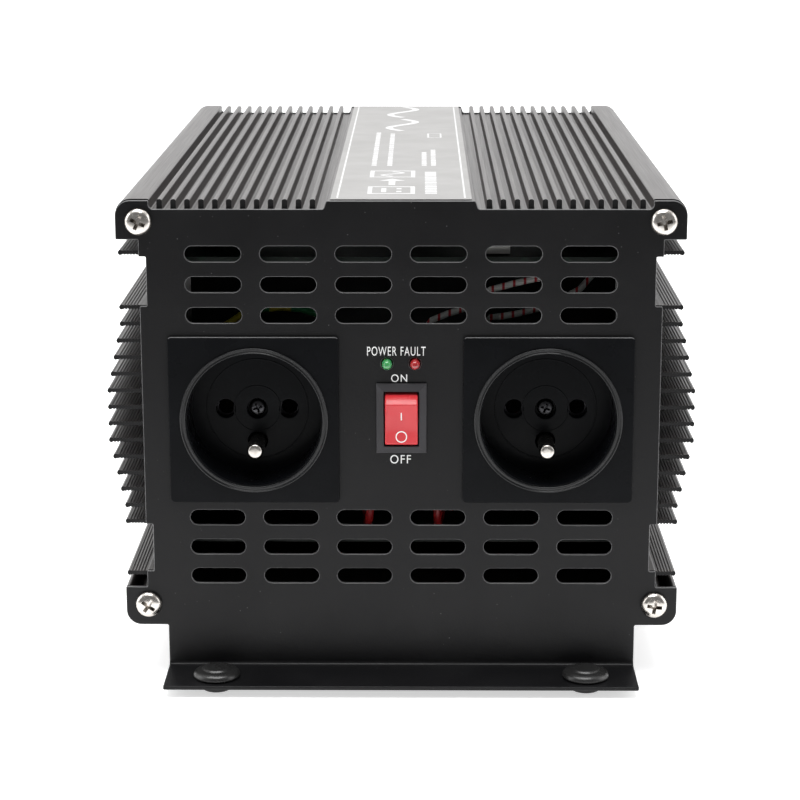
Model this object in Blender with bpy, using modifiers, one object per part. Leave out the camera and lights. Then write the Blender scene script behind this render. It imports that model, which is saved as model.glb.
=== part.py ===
"""Power inverter: two finned aluminium half shells between two bent steel end panels.

Metres, +Z up, front towards -Y. The feet stand on Z = 0 and the origin is under the middle of the
case. Everything is measured from the mid-plane where the two shells meet, and the items of each
panel from the outer face of that panel, with local +Y going into the case.
"""

import math

import bmesh
import bpy
from mathutils import Matrix, Vector

# Clearance between pieces that rest on each other.
GAP = 0.0003

# Case extrusion.
CASE_LENGTH = 0.246
SHEET = 0.0012
WALL_OUT = 0.0740
WALL_IN = 0.0720
ROOF_OUT = 0.0610
ROOF_IN = 0.0588
PLATFORM_TOP = 0.0635
PLATFORM_HALF = 0.0215
LABEL_THICK = 0.0003
LABEL_HALF = 0.0205
LABEL_LENGTH = 0.244

# Twelve ribs on each side of the platform.
RIB_COUNT = 12
RIB_FIRST = 0.0255
RIB_PITCH = 0.00402
RIB_TIP = 0.0642
RIB_HALF = 0.0008

# Side fins: the height above the mid-plane and the reach of each, the lowest first.
FIN_FIRST = 0.0025
FIN_PITCH = 0.0050
FIN_REACH = [0.0866, 0.0866, 0.0855, 0.0845, 0.0835, 0.0824, 0.0824]
FIN_HALF = 0.00065
FIN_BULB = 0.0008
LONE_FIN = 0.0486
LONE_FIN_REACH = 0.0823
STEP_OUT = 0.0760
STEP_LOW = 0.0476

# Corner block with its screw port and outer lip.
CORNER_IN = 0.0727
CORNER_OUT = 0.0825
CORNER_TOP = 0.0643
CORNER_RADIUS = 0.0045
LIP_LOW = 0.0526
LIP_IN = 0.0812
CHANNEL_IN = 0.0763
PORT_X = 0.0757
PORT_Z = 0.0579
PORT_RADIUS = 0.0036
PORT_HOLE = 0.0019

# Ledges that hold the circuit boards inside.
LEDGE_REACH = 0.0700
LEDGE_LOW = 0.0428
LEDGE_THICK = 0.0012
BOARD_SLOT_LOW = 0.0440
BOARD_SLOT_HIGH = 0.0462
BOARD_HALF = 0.0712
BOARD_THICK = 0.0016

# End panels.
PANEL_FACE = CASE_LENGTH / 2 + GAP + SHEET
PANEL_TOP = 0.0639
PANEL_NOTCH = 0.0615
PANEL_WAIST = 0.0739
WAIST_LOW = 0.0330
EAR_TOP = 0.0640
EAR_BOTTOM = 0.0645
FLANGE_HALF = 0.0700
FLANGE_TOP = -0.0770
FLANGE_REACH = 0.0190
BEND_RADIUS = 0.0010
SLOT_PITCH_X = 0.0218
SLOT_ROWS = [0.0484, 0.0394, 0.0303, -0.0309, -0.0400, -0.0490]
SLOT_LENGTH = 0.0164
SLOT_HEIGHT = 0.0046

# Panel screws.
SCREW_HEAD_RADIUS = 0.0040
SCREW_HEAD_HEIGHT = 0.0023
SCREW_SHANK_RADIUS = 0.0015
SCREW_LENGTH = 0.0110
SCREW_HOLE_RADIUS = 0.0019

# Rubber feet.
FOOT_X = 0.0548
FOOT_OUT = 0.0104
FOOT_HOLE_RADIUS = 0.0032
FOOT_DROP = 0.0037

# Height of the case's mid-plane over the table.
MID_HEIGHT = -FLANGE_TOP + FOOT_DROP

# Outlets.
OUTLET_X = 0.0432
OUTLET_Z = -0.0009
OUTLET_PLATE = 0.0500
OUTLET_BODY = 0.0446
OUTLET_CUTOUT = 0.0456
OUTLET_FRONT = -0.0013
OUTLET_BACK = 0.0320
RECESS_RADIUS = 0.0198
RECESS_FLOOR = 0.0137
RIM_OUTER = 0.0217
RIM_INNER = 0.0205
RIM_FRONT = -0.0021
CONTACT_SPACING = 0.0190
CONTACT_HOLE_RADIUS = 0.00275
CONTACT_CAVITY_RADIUS = 0.0037
CONTACT_CAVITY_FRONT = 0.0172
SLEEVE_OUTER = 0.0033
SLEEVE_INNER = 0.0025
SLEEVE_FRONT = 0.0176
SLEEVE_BACK = 0.0360
EARTH_DROP = 0.0100
EARTH_RADIUS = 0.0024
EARTH_HOLE_RADIUS = 0.0028
EARTH_TIP = 0.0002
OUTLET_SCREW_RADIUS = 0.0032
OUTLET_BORE_RADIUS = 0.0037
OUTLET_BORE_DEPTH = 0.0024
OUTLET_STEPS = 28

# Rocker switch.
BEZEL_WIDTH = 0.0148
BEZEL_HEIGHT = 0.0210
BEZEL_FRONT = -0.0020
SWITCH_BODY_WIDTH = 0.0128
SWITCH_BODY_HEIGHT = 0.0188
SWITCH_CUTOUT_WIDTH = 0.0134
SWITCH_CUTOUT_HEIGHT = 0.0194
SWITCH_BACK = 0.0140
SWITCH_CAVITY_WIDTH = 0.0106
SWITCH_CAVITY_HEIGHT = 0.0167
SWITCH_CAVITY_BACK = 0.0105
ROCKER_WIDTH = 0.0098
ROCKER_RADIUS = 0.0080
ROCKER_PIVOT_Y = 0.0010
ROCKER_CREST = -0.0032
ROCKER_END = -0.0048
ROCKER_BACK = 0.0035
ROCKER_TRAVEL = 25.0

# Lamps.
LAMP_X = 0.0041
LAMP_Z = 0.0160
LAMP_RADIUS = 0.0015
LAMP_HOLE_RADIUS = 0.0018

# Fans, behind the rear panel.
FAN_X = 0.0330
FAN_Z = 0.0200
FAN_SIZE = 0.0600
FAN_DEPTH = 0.0150
FAN_BORE_RADIUS = 0.0285
FAN_HOLE_SPACING = 0.0500
FAN_HOLE_RADIUS = 0.00215
FAN_OPENING_RADIUS = 0.0280
MOTOR_RADIUS = 0.0130
MOTOR_THICK = 0.0020
ROTOR_RADIUS = 0.0120
ROTOR_TIP = 0.0273
ROTOR_GAP = 0.0010
BLADE_COUNT = 7
BLADE_CHORD = 0.0130
BLADE_THICK = 0.0012
BLADE_PITCH = 38.0
GUARD_RINGS = [0.0080, 0.0145, 0.0210, 0.0275]
GUARD_WIRE = 0.0008
GUARD_RING_Y = -0.0025
GUARD_SPOKE_Y = -0.0014
GUARD_EYE_RADIUS = 0.0038

# Battery terminals, on the rear panel.
TERMINAL_X = 0.0300
TERMINAL_Z = -0.0350
TERMINAL_HOLE_RADIUS = 0.0068
STUD_RADIUS = 0.0040
STUD_OUT = 0.0180
STUD_IN = 0.0140
BARREL_TOP = 0.0095
NUT_ACROSS_FLATS = 0.0130
NUT_THICK = 0.0064
NUT_HOLE_RADIUS = 0.0043

# Inside the case. Heights are over the power board's top.
POWER_BOARD_SPAN = (-0.1000, 0.1120)
OUTPUT_BOARD_SPAN = (-0.1150, 0.0400)
TRANSFORMER_X = 0.0320
TRANSFORMER_Y = 0.0300
TRANSFORMER_CORE = (0.0500, 0.0210, 0.0420)
WINDING_SIZE = (0.0330, 0.0380, 0.0260)
WINDING_LIFT = 0.0080
HIGH_VOLTAGE_CAN = (0.0150, 0.0450)
HIGH_VOLTAGE_CAN_PLACE = (0.0180, -0.0300)
INPUT_CAN = (0.0090, 0.0340)
INPUT_CAN_PLACE = (0.0110, 0.0800)
CAN_GROOVE = 0.0008
COIL_RADIUS = 0.0130
COIL_SECTION_RADIUS = 0.0060
COIL_PLACE = (-0.0440, -0.0660)
CLAMP_IN = 0.0638
CLAMP_OUT = 0.0666
CLAMP_HALF_LENGTH = 0.0880
CLAMP_LOW = -0.0330
CLAMP_HIGH = -0.0250
TRANSISTOR_COUNT = 7
TRANSISTOR_PITCH = 0.0245
TRANSISTOR_HALF_WIDTH = 0.0078
TRANSISTOR_LOW = -0.0424
TRANSISTOR_HIGH = -0.0225
TRANSISTOR_OUT = 0.0714
CONNECTOR_SIZE = (0.0070, 0.0080, 0.0038)
CONNECTOR_PLACE = (0.0250, 0.0125)
BATTERY_LEAD_RADIUS = 0.0030
EARTH_WIRE_RADIUS = 0.0011
MAINS_LEAD_RADIUS = 0.0010

ROUND_STEPS = 24

parts = bpy.data.collections.new("power_inverter")
cutters = bpy.data.collections.new("cutters")


def clear_scene():
    for obj in list(bpy.data.objects):
        bpy.data.objects.remove(obj)
    bpy.context.scene.collection.children.link(parts)
    bpy.context.scene.collection.children.link(cutters)
    cutters.hide_render = True


# Materials


def make_material(name, colour, roughness, metallic=0.0):
    material = bpy.data.materials.new(name)
    material.use_nodes = True
    shader = material.node_tree.nodes["Principled BSDF"]
    shader.inputs["Base Color"].default_value = (*colour, 1.0)
    shader.inputs["Roughness"].default_value = roughness
    shader.inputs["Metallic"].default_value = metallic
    material.diffuse_color = (*colour, 1.0)
    return material


ANODISED = make_material("black_anodised", (0.035, 0.034, 0.036), 0.35, 0.8)
POWDER = make_material("black_powder_coat", (0.012, 0.012, 0.013), 0.45)
LABEL = make_material("label_grey", (0.62, 0.61, 0.61), 0.4)
NICKEL = make_material("nickel", (0.75, 0.73, 0.70), 0.2, 1.0)
BRASS = make_material("brass", (0.78, 0.58, 0.25), 0.3, 1.0)
RUBBER = make_material("black_rubber", (0.015, 0.015, 0.015), 0.35)
BLACK_PLASTIC = make_material("black_plastic", (0.012, 0.013, 0.015), 0.3)
SWITCH_GREY = make_material("switch_black", (0.03, 0.03, 0.032), 0.4)
SWITCH_RED = make_material("switch_red", (0.75, 0.05, 0.06), 0.25)
LAMP_GREEN = make_material("lamp_green", (0.15, 0.5, 0.1), 0.1)
LAMP_RED = make_material("lamp_red", (0.55, 0.03, 0.03), 0.1)
CHROME_WIRE = make_material("chrome_wire", (0.8, 0.8, 0.8), 0.12, 1.0)
TERMINAL_RED = make_material("terminal_red", (0.6, 0.02, 0.02), 0.35)
BOARD_GREEN = make_material("board_green", (0.02, 0.12, 0.05), 0.4)
FERRITE = make_material("ferrite", (0.06, 0.06, 0.065), 0.6)
CAN_BLACK = make_material("capacitor_sleeve", (0.02, 0.02, 0.03), 0.3)
COPPER = make_material("enamelled_copper", (0.55, 0.2, 0.07), 0.3, 1.0)
WIRE_RED = make_material("wire_red", (0.6, 0.02, 0.02), 0.4)
WIRE_BLACK = make_material("wire_black", (0.015, 0.015, 0.015), 0.4)
WIRE_WHITE = make_material("wire_white", (0.75, 0.75, 0.73), 0.4)
WIRE_EARTH = make_material("wire_green_yellow", (0.25, 0.55, 0.05), 0.4)


# Building blocks


def new_empty(name, location, turn=0.0):
    empty = bpy.data.objects.new(name, None)
    empty.location = location
    empty.rotation_euler.z = math.radians(turn)
    empty.empty_display_size = 0.02
    parts.objects.link(empty)
    return empty


def add_object(name, mesh, material, parent, location=(0, 0, 0)):
    if material is not None:
        mesh.materials.append(material)
    obj = bpy.data.objects.new(name, mesh)
    obj.parent = parent
    obj.location = location
    parts.objects.link(obj)
    return obj


def mesh_from(bm, name):
    bmesh.ops.recalc_face_normals(bm, faces=bm.faces)
    mesh = bpy.data.meshes.new(name)
    bm.to_mesh(mesh)
    bm.free()
    return mesh


def smooth(mesh, angle=35.0):
    mesh.shade_smooth()
    mesh.set_sharp_from_angle(angle=math.radians(angle))


def arc(x, z, radius, start, end, steps):
    """Points on an arc about (x, z), angles in degrees from +X towards +Z."""
    points = []
    for step in range(steps + 1):
        angle = math.radians(start + (end - start) * step / steps)
        points.append((x + radius * math.cos(angle), z + radius * math.sin(angle)))
    return points


def circle(x, z, radius, steps=ROUND_STEPS):
    return arc(x, z, radius, 0, 360 * (steps - 1) / steps, steps - 1)


def rectangle(x, z, width, height):
    half_w = width / 2
    half_h = height / 2
    left, right = x - half_w, x + half_w
    low, high = z - half_h, z + half_h
    return [(left, low), (right, low), (right, high), (left, high)]


def stadium(x, z, length, height, steps=5):
    radius = height / 2
    shift = length / 2 - radius
    return arc(x + shift, z, radius, -90, 90, steps) + arc(x - shift, z, radius, 90, 270, steps)


def mirror_x(points):
    """The points with X turned over, in the opposite order, so that a half outline goes on to close."""
    return [(-x, z) for x, z in reversed(points)]


def outline_mesh(name, loops, y_front, y_back):
    """An outline in X and Z with its holes, filled from y_front to y_back, or flat if they are equal."""
    curve = bpy.data.curves.new(name, "CURVE")
    curve.dimensions = "2D"
    curve.fill_mode = "BOTH"
    curve.extrude = (y_back - y_front) / 2
    for loop in loops:
        spline = curve.splines.new("POLY")
        spline.points.add(len(loop) - 1)
        for point, (x, z) in zip(spline.points, loop):
            point.co = (x, z, 0, 1)
        spline.use_cyclic_u = True
    guide = bpy.data.objects.new(name, curve)
    parts.objects.link(guide)
    graph = bpy.context.evaluated_depsgraph_get()
    mesh = bpy.data.meshes.new_from_object(guide.evaluated_get(graph))
    bpy.data.objects.remove(guide)
    bpy.data.curves.remove(curve)
    mesh.materials.clear()
    middle = Matrix.Translation((0, (y_front + y_back) / 2, 0))
    mesh.transform(middle @ Matrix.Rotation(math.radians(90), 4, "X"))
    bm = bmesh.new()
    bm.from_mesh(mesh)
    bmesh.ops.remove_doubles(bm, verts=bm.verts, dist=0.00001)
    if y_front == y_back:
        inner = [edge for edge in bm.edges if edge.is_manifold]
        bmesh.ops.beautify_fill(bm, faces=bm.faces, edges=inner)
    bmesh.ops.recalc_face_normals(bm, faces=bm.faces)
    bm.to_mesh(mesh)
    bm.free()
    return mesh


def box_mesh(name, low, high):
    bm = bmesh.new()
    size = Vector(high) - Vector(low)
    centre = (Vector(high) + Vector(low)) / 2
    place = Matrix.Translation(centre) @ Matrix.Diagonal((*size, 1.0))
    bmesh.ops.create_cube(bm, size=1.0, matrix=place)
    return mesh_from(bm, name)


def cylinder_mesh(name, x, z, radius, y_front, y_back, steps=ROUND_STEPS):
    """A cylinder along Y."""
    bm = bmesh.new()
    place = Matrix.Translation((x, (y_front + y_back) / 2, z)) @ Matrix.Rotation(math.radians(90), 4, "X")
    depth = y_back - y_front
    bmesh.ops.create_cone(
        bm, cap_ends=True, segments=steps, radius1=radius, radius2=radius, depth=depth, matrix=place
    )
    return mesh_from(bm, name)


def turned_mesh(name, profile, steps=ROUND_STEPS, closed=False, axis="Y"):
    """A profile of (radius, height) turned about its axis; with axis Y, height points out of the panel."""
    line = bpy.data.meshes.new(name)
    points = [(radius, 0, height) for radius, height in profile]
    edges = [(i, i + 1) for i in range(len(points) - 1)]
    if closed:
        edges.append((len(points) - 1, 0))
    line.from_pydata(points, edges, [])
    guide = bpy.data.objects.new(name, line)
    parts.objects.link(guide)
    screw = guide.modifiers.new("turn", "SCREW")
    screw.steps = steps
    screw.render_steps = steps
    screw.use_merge_vertices = True
    screw.merge_threshold = 0.00001
    graph = bpy.context.evaluated_depsgraph_get()
    mesh = bpy.data.meshes.new_from_object(guide.evaluated_get(graph))
    bpy.data.objects.remove(guide)
    if axis == "Y":
        mesh.transform(Matrix.Rotation(math.radians(90), 4, "X"))
    bm = bmesh.new()
    bm.from_mesh(mesh)
    bmesh.ops.remove_doubles(bm, verts=bm.verts, dist=0.00001)
    bmesh.ops.recalc_face_normals(bm, faces=bm.faces)
    bm.to_mesh(mesh)
    bm.free()
    smooth(mesh)
    return mesh


def combine(obj, mesh, operation):
    """Adds a Boolean with a hidden helper that shares the object's parent and place."""
    helper = bpy.data.objects.new(obj.name + "_" + mesh.name, mesh)
    helper.parent = obj.parent
    helper.location = obj.location
    helper.hide_render = True
    helper.display_type = "WIRE"
    cutters.objects.link(helper)
    boolean = obj.modifiers.new(mesh.name, "BOOLEAN")
    boolean.operation = operation
    boolean.object = helper
    boolean.solver = "EXACT"


def cut(obj, mesh):
    combine(obj, mesh, "DIFFERENCE")


def join(obj, mesh):
    combine(obj, mesh, "UNION")


def bevel(obj, width, segments=1, angle=40.0):
    modifier = obj.modifiers.new("bevel", "BEVEL")
    modifier.width = width
    modifier.segments = segments
    modifier.limit_method = "ANGLE"
    modifier.angle_limit = math.radians(angle)


def smooth_route(points, per_span):
    """Points along a Catmull-Rom curve through the route's own points."""
    ends = [points[0] * 2 - points[1]] + points + [points[-1] * 2 - points[-2]]
    route = []
    for i in range(1, len(ends) - 2):
        before, start, end, after = ends[i - 1 : i + 3]
        for step in range(per_span):
            t = step / per_span
            linear = (end - before) * t
            square = (before * 2 - start * 5 + end * 4 - after) * t**2
            cube = (start * 3 - before - end * 3 + after) * t**3
            route.append((start * 2 + linear + square + cube) / 2)
    route.append(points[-1])
    return route


def add_wire(name, points, radius, material, parent, per_span=3):
    curve = bpy.data.curves.new(name, "CURVE")
    curve.dimensions = "3D"
    curve.bevel_depth = radius
    curve.bevel_resolution = 2
    curve.use_fill_caps = True
    route = smooth_route([Vector(point) for point in points], per_span)
    spline = curve.splines.new("POLY")
    spline.points.add(len(route) - 1)
    for point, place in zip(spline.points, route):
        point.co = (*place, 1)
    curve.materials.append(material)
    obj = bpy.data.objects.new(name, curve)
    obj.parent = parent
    parts.objects.link(obj)
    return obj


# Case shells


def fin_points(height, root, reach):
    """One side fin with a round bulb at its tip, from its lower root to its upper root."""
    neck = reach - 0.0016
    return [
        (root, height - FIN_HALF),
        (neck, height - FIN_HALF),
        (reach - 0.0009, height - FIN_BULB),
        (reach - 0.0002, height - FIN_BULB / 2),
        (reach - 0.0002, height + FIN_BULB / 2),
        (reach - 0.0009, height + FIN_BULB),
        (neck, height + FIN_HALF),
        (root, height + FIN_HALF),
    ]


def rib_points(x):
    """One top rib, from its outer root over its tip to its inner root."""
    return [
        (x + RIB_HALF, ROOF_OUT),
        (x + RIB_HALF, RIB_TIP - 0.0006),
        (x + RIB_HALF / 2, RIB_TIP),
        (x - RIB_HALF / 2, RIB_TIP),
        (x - RIB_HALF, RIB_TIP - 0.0006),
        (x - RIB_HALF, ROOF_OUT),
    ]


def shell_outer_half():
    """The outside of the right half of the upper shell, from the seam to the platform."""
    seam = GAP / 2
    points = [(WALL_OUT, seam)]
    for index, reach in enumerate(FIN_REACH):
        points += fin_points(FIN_FIRST + FIN_PITCH * index, WALL_OUT, reach)
    points += [(WALL_OUT, STEP_LOW), (STEP_OUT, STEP_LOW)]
    points += fin_points(LONE_FIN, STEP_OUT, LONE_FIN_REACH)
    points += [(STEP_OUT, 0.0510), (CHANNEL_IN, 0.0520)]
    points += arc(PORT_X, PORT_Z, PORT_RADIUS, -80, 40, 6)
    points += [(0.0794, 0.0616), (LIP_IN, 0.0600), (LIP_IN, LIP_LOW), (CORNER_OUT, LIP_LOW)]
    points += arc(CORNER_OUT - CORNER_RADIUS, CORNER_TOP - CORNER_RADIUS, CORNER_RADIUS, 0, 90, 5)
    points += [(CORNER_IN, CORNER_TOP), (CORNER_IN, ROOF_OUT)]
    for index in reversed(range(RIB_COUNT)):
        points += rib_points(RIB_FIRST + RIB_PITCH * index)
    points += [(PLATFORM_HALF, ROOF_OUT), (PLATFORM_HALF, PLATFORM_TOP)]
    return points


def shell_inner_half():
    """The inside of the right half, from the seam past the two board ledges to the roof."""
    points = [(WALL_IN, GAP / 2)]
    for low in (LEDGE_LOW, BOARD_SLOT_HIGH):
        high = low + LEDGE_THICK
        points += [(WALL_IN, low), (LEDGE_REACH, low), (LEDGE_REACH, high), (WALL_IN, high)]
    points += [(WALL_IN, ROOF_IN)]
    return points


def make_shell(name, upside, parent):
    outer = shell_outer_half()
    inner = shell_inner_half()
    outline = outer + mirror_x(outer) + [(-x, z) for x, z in inner] + list(reversed(inner))
    loops = [outline]
    for side in (-1, 1):
        loops.append(circle(side * PORT_X, PORT_Z, PORT_HOLE, 12))
    loops = [[(x, z * upside) for x, z in loop] for loop in loops]
    mesh = outline_mesh(name, loops, -CASE_LENGTH / 2, CASE_LENGTH / 2)
    return add_object(name, mesh, ANODISED, parent)


def make_label(parent):
    low = PLATFORM_TOP + GAP
    half_y = LABEL_LENGTH / 2
    mesh = box_mesh("top_label", (-LABEL_HALF, -half_y, low), (LABEL_HALF, half_y, low + LABEL_THICK))
    return add_object("top_label", mesh, LABEL, parent)


# End panels


def panel_outline():
    """The flat part of a panel: corner ears, notches under the ribs and waists beside the open fins."""
    half = [(PLATFORM_HALF, PANEL_TOP), (PLATFORM_HALF + 0.0008, PANEL_NOTCH)]
    half += [(CORNER_IN - 0.0008, PANEL_NOTCH), (CORNER_IN, PANEL_NOTCH + 0.0008), (CORNER_IN, EAR_TOP)]
    half += arc(CORNER_OUT - CORNER_RADIUS, EAR_TOP - CORNER_RADIUS, CORNER_RADIUS, 90, 0, 6)
    half += [(CORNER_OUT, LIP_LOW), (STEP_OUT, LIP_LOW), (STEP_OUT, STEP_LOW), (PANEL_WAIST, STEP_LOW)]
    half += [(PANEL_WAIST, WAIST_LOW), (STEP_OUT, WAIST_LOW)]
    half += [(STEP_OUT, -WAIST_LOW), (PANEL_WAIST, -WAIST_LOW)]
    half += [(PANEL_WAIST, -STEP_LOW), (STEP_OUT, -STEP_LOW), (STEP_OUT, -LIP_LOW), (CORNER_OUT, -LIP_LOW)]
    half += arc(CORNER_OUT - CORNER_RADIUS, CORNER_RADIUS - EAR_BOTTOM, CORNER_RADIUS, 0, -90, 6)
    half += [(FLANGE_HALF, -EAR_BOTTOM)]
    return half + mirror_x(half)


def panel_screw_holes():
    holes = []
    for x in (-PORT_X, PORT_X):
        for z in (-PORT_Z, PORT_Z):
            holes.append(circle(x, z, SCREW_HOLE_RADIUS, 12))
    return holes


def flange_sheet():
    """The flat of the foot flange with its two foot holes, lying at the flange's upper face."""
    depth = FLANGE_REACH - BEND_RADIUS
    loops = [rectangle(0, -BEND_RADIUS - depth / 2, 2 * FLANGE_HALF, depth)]
    for side in (-1, 1):
        loops.append(circle(side * FOOT_X, -FOOT_OUT, FOOT_HOLE_RADIUS, 16))
    mesh = outline_mesh("flange", loops, 0, 0)
    mesh.transform(Matrix.Translation((0, 0, FLANGE_TOP)) @ Matrix.Rotation(math.radians(-90), 4, "X"))
    return mesh


def fold_flange(mesh):
    """Carries the lower edge of the flat sheet round the bend and on into the foot flange."""
    bm = bmesh.new()
    bm.from_mesh(mesh)
    level = -EAR_BOTTOM + 0.0001
    low = [e for e in bm.edges if all(v.co.z < level and abs(v.co.x) < FLANGE_HALF + 0.0001 for v in e.verts)]
    for y, z in arc(-BEND_RADIUS, FLANGE_TOP + BEND_RADIUS, BEND_RADIUS, 0, -90, 4):
        made = bmesh.ops.extrude_edge_only(bm, edges=low)
        low = [item for item in made["geom"] if isinstance(item, bmesh.types.BMEdge)]
        for vertex in {v for edge in low for v in edge.verts}:
            vertex.co.y = y
            vertex.co.z = z
    bm.from_mesh(flange_sheet())
    bmesh.ops.remove_doubles(bm, verts=bm.verts, dist=0.00001)
    bmesh.ops.recalc_face_normals(bm, faces=bm.faces)
    if sum(face.normal.y * face.calc_area() for face in bm.faces) > 0:
        bmesh.ops.reverse_faces(bm, faces=bm.faces)
    bm.to_mesh(mesh)
    bm.free()


def make_panel(name, cutouts, parent):
    mesh = outline_mesh(name, [panel_outline()] + cutouts + panel_screw_holes(), 0, 0)
    fold_flange(mesh)
    panel = add_object(name, mesh, POWDER, parent)
    solid = panel.modifiers.new("sheet", "SOLIDIFY")
    solid.thickness = SHEET
    solid.offset = -1.0
    solid.use_quality_normals = True


def front_cutouts():
    holes = []
    for column in range(6):
        for row in SLOT_ROWS:
            holes.append(stadium((column - 2.5) * SLOT_PITCH_X, row, SLOT_LENGTH, SLOT_HEIGHT))
    for side in (-1, 1):
        holes.append(rectangle(side * OUTLET_X, OUTLET_Z, OUTLET_CUTOUT, OUTLET_CUTOUT))
        holes.append(circle(side * LAMP_X, LAMP_Z, LAMP_HOLE_RADIUS, 12))
    holes.append(rectangle(0, 0, SWITCH_CUTOUT_WIDTH, SWITCH_CUTOUT_HEIGHT))
    return holes


def rear_cutouts():
    holes = []
    for side in (-1, 1):
        holes.append(circle(side * FAN_X, FAN_Z, FAN_OPENING_RADIUS, 32))
        holes.append(circle(side * TERMINAL_X, TERMINAL_Z, TERMINAL_HOLE_RADIUS, 16))
    return holes


def make_panel_screws(where, parent):
    profile = [
        (0, GAP + SCREW_HEAD_HEIGHT),
        (0.0020, GAP + SCREW_HEAD_HEIGHT * 0.93),
        (0.0034, GAP + SCREW_HEAD_HEIGHT * 0.62),
        (SCREW_HEAD_RADIUS, GAP + 0.0005),
        (SCREW_HEAD_RADIUS, GAP),
        (SCREW_SHANK_RADIUS, GAP),
        (SCREW_SHANK_RADIUS, -SCREW_LENGTH),
        (0, -SCREW_LENGTH - 0.0010),
    ]
    mesh = turned_mesh("panel_screw", profile, 12)
    mesh.materials.append(NICKEL)
    for row, z in (("upper", PORT_Z), ("lower", -PORT_Z)):
        for column, x in (("left", -PORT_X), ("right", PORT_X)):
            add_object(f"{where}_screw_{row}_{column}", mesh, None, parent, (x, 0, z))


def make_feet(where, parent):
    profile = [
        (0, 0.0016),
        (0.0022, 0.0016),
        (0.0029, 0.0031),
        (0.0044, 0.0032),
        (0.0058, 0.0026),
        (0.0068, 0.0015),
        (0.0070, 0.0007),
        (0.0067, GAP),
        (0.0029, GAP),
        (0.0029, -SHEET - GAP),
        (0.0047, -SHEET - GAP),
        (0.0047, -FOOT_DROP + 0.0006),
        (0.0041, -FOOT_DROP),
        (0, -FOOT_DROP),
    ]
    mesh = turned_mesh("foot", profile, 12, axis="Z")
    mesh.materials.append(RUBBER)
    for column, x in (("left", -FOOT_X), ("right", FOOT_X)):
        add_object(f"{where}_foot_{column}", mesh, None, parent, (x, -FOOT_OUT, FLANGE_TOP))


# Outlets


def outlet_rim():
    profile = [
        (RIM_INNER, -OUTLET_FRONT - 0.0005),
        (RIM_INNER, -RIM_FRONT),
        (RIM_OUTER, -RIM_FRONT),
        (RIM_OUTER, -OUTLET_FRONT - 0.0005),
    ]
    return turned_mesh("rim", profile, OUTLET_STEPS, closed=True)


def make_outlet(side, parent):
    where = "left" if side < 0 else "right"
    place = (side * OUTLET_X, 0, OUTLET_Z)
    half_plate = OUTLET_PLATE / 2
    half_body = OUTLET_BODY / 2
    plate = box_mesh("plate", (-half_plate, OUTLET_FRONT, -half_plate), (half_plate, -GAP, half_plate))
    body = add_object(f"{where}_outlet_body", plate, BLACK_PLASTIC, parent, place)
    block_front = OUTLET_FRONT + 0.0004
    block = box_mesh("block", (-half_body, block_front, -half_body), (half_body, OUTLET_BACK, half_body))
    join(body, block)
    join(body, outlet_rim())
    beyond = OUTLET_BACK + 0.002
    cut(body, cylinder_mesh("recess", 0, 0, RECESS_RADIUS, RIM_FRONT - 0.002, RECESS_FLOOR, OUTLET_STEPS))
    start = RECESS_FLOOR - 0.001
    cavity = CONTACT_CAVITY_FRONT
    for number, x in enumerate((-CONTACT_SPACING / 2, CONTACT_SPACING / 2)):
        cut(body, cylinder_mesh(f"contact_hole_{number}", x, 0, CONTACT_HOLE_RADIUS, start, beyond, 12))
        cut(body, cylinder_mesh(f"contact_cavity_{number}", x, 0, CONTACT_CAVITY_RADIUS, cavity, beyond, 12))
    cut(body, cylinder_mesh("earth_hole", 0, -EARTH_DROP, EARTH_HOLE_RADIUS, start, beyond, 12))
    bore_floor = RECESS_FLOOR + OUTLET_BORE_DEPTH
    cut(body, cylinder_mesh("screw_bore", 0, 0, OUTLET_BORE_RADIUS, start, bore_floor, 12))
    cut(body, cylinder_mesh("screw_hole", 0, 0, SCREW_HOLE_RADIUS, bore_floor - 0.001, beyond, 12))

    pin_profile = [
        (0, -EARTH_TIP),
        (EARTH_RADIUS * 0.6, -EARTH_TIP - 0.0003),
        (EARTH_RADIUS * 0.92, -EARTH_TIP - 0.0011),
        (EARTH_RADIUS, -EARTH_TIP - 0.0022),
        (EARTH_RADIUS, -SLEEVE_BACK),
        (0, -SLEEVE_BACK),
    ]
    pin = turned_mesh("earth_pin", pin_profile, 16)
    add_object(f"{where}_outlet_earth_pin", pin, NICKEL, parent, (place[0], 0, OUTLET_Z - EARTH_DROP))

    head = -bore_floor + GAP
    screw_profile = [
        (0, head + 0.0017),
        (0.0020, head + 0.0015),
        (OUTLET_SCREW_RADIUS, head + 0.0008),
        (OUTLET_SCREW_RADIUS, head),
        (SCREW_SHANK_RADIUS, head),
        (SCREW_SHANK_RADIUS, -OUTLET_BACK + 0.002),
        (0, -OUTLET_BACK + 0.001),
    ]
    screw = turned_mesh("outlet_screw", screw_profile, 12)
    add_object(f"{where}_outlet_screw", screw, NICKEL, parent, place)

    sleeve_profile = [
        (SLEEVE_INNER, -SLEEVE_FRONT),
        (SLEEVE_OUTER, -SLEEVE_FRONT),
        (SLEEVE_OUTER, -SLEEVE_BACK),
        (SLEEVE_INNER, -SLEEVE_BACK),
    ]
    sleeve = turned_mesh("contact_sleeve", sleeve_profile, 12, closed=True)
    sleeve.materials.append(BRASS)
    for role, x in (("live", -CONTACT_SPACING / 2), ("neutral", CONTACT_SPACING / 2)):
        add_object(f"{where}_outlet_{role}_sleeve", sleeve, None, parent, (place[0] + x, 0, OUTLET_Z))


# Switch and lamps


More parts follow.
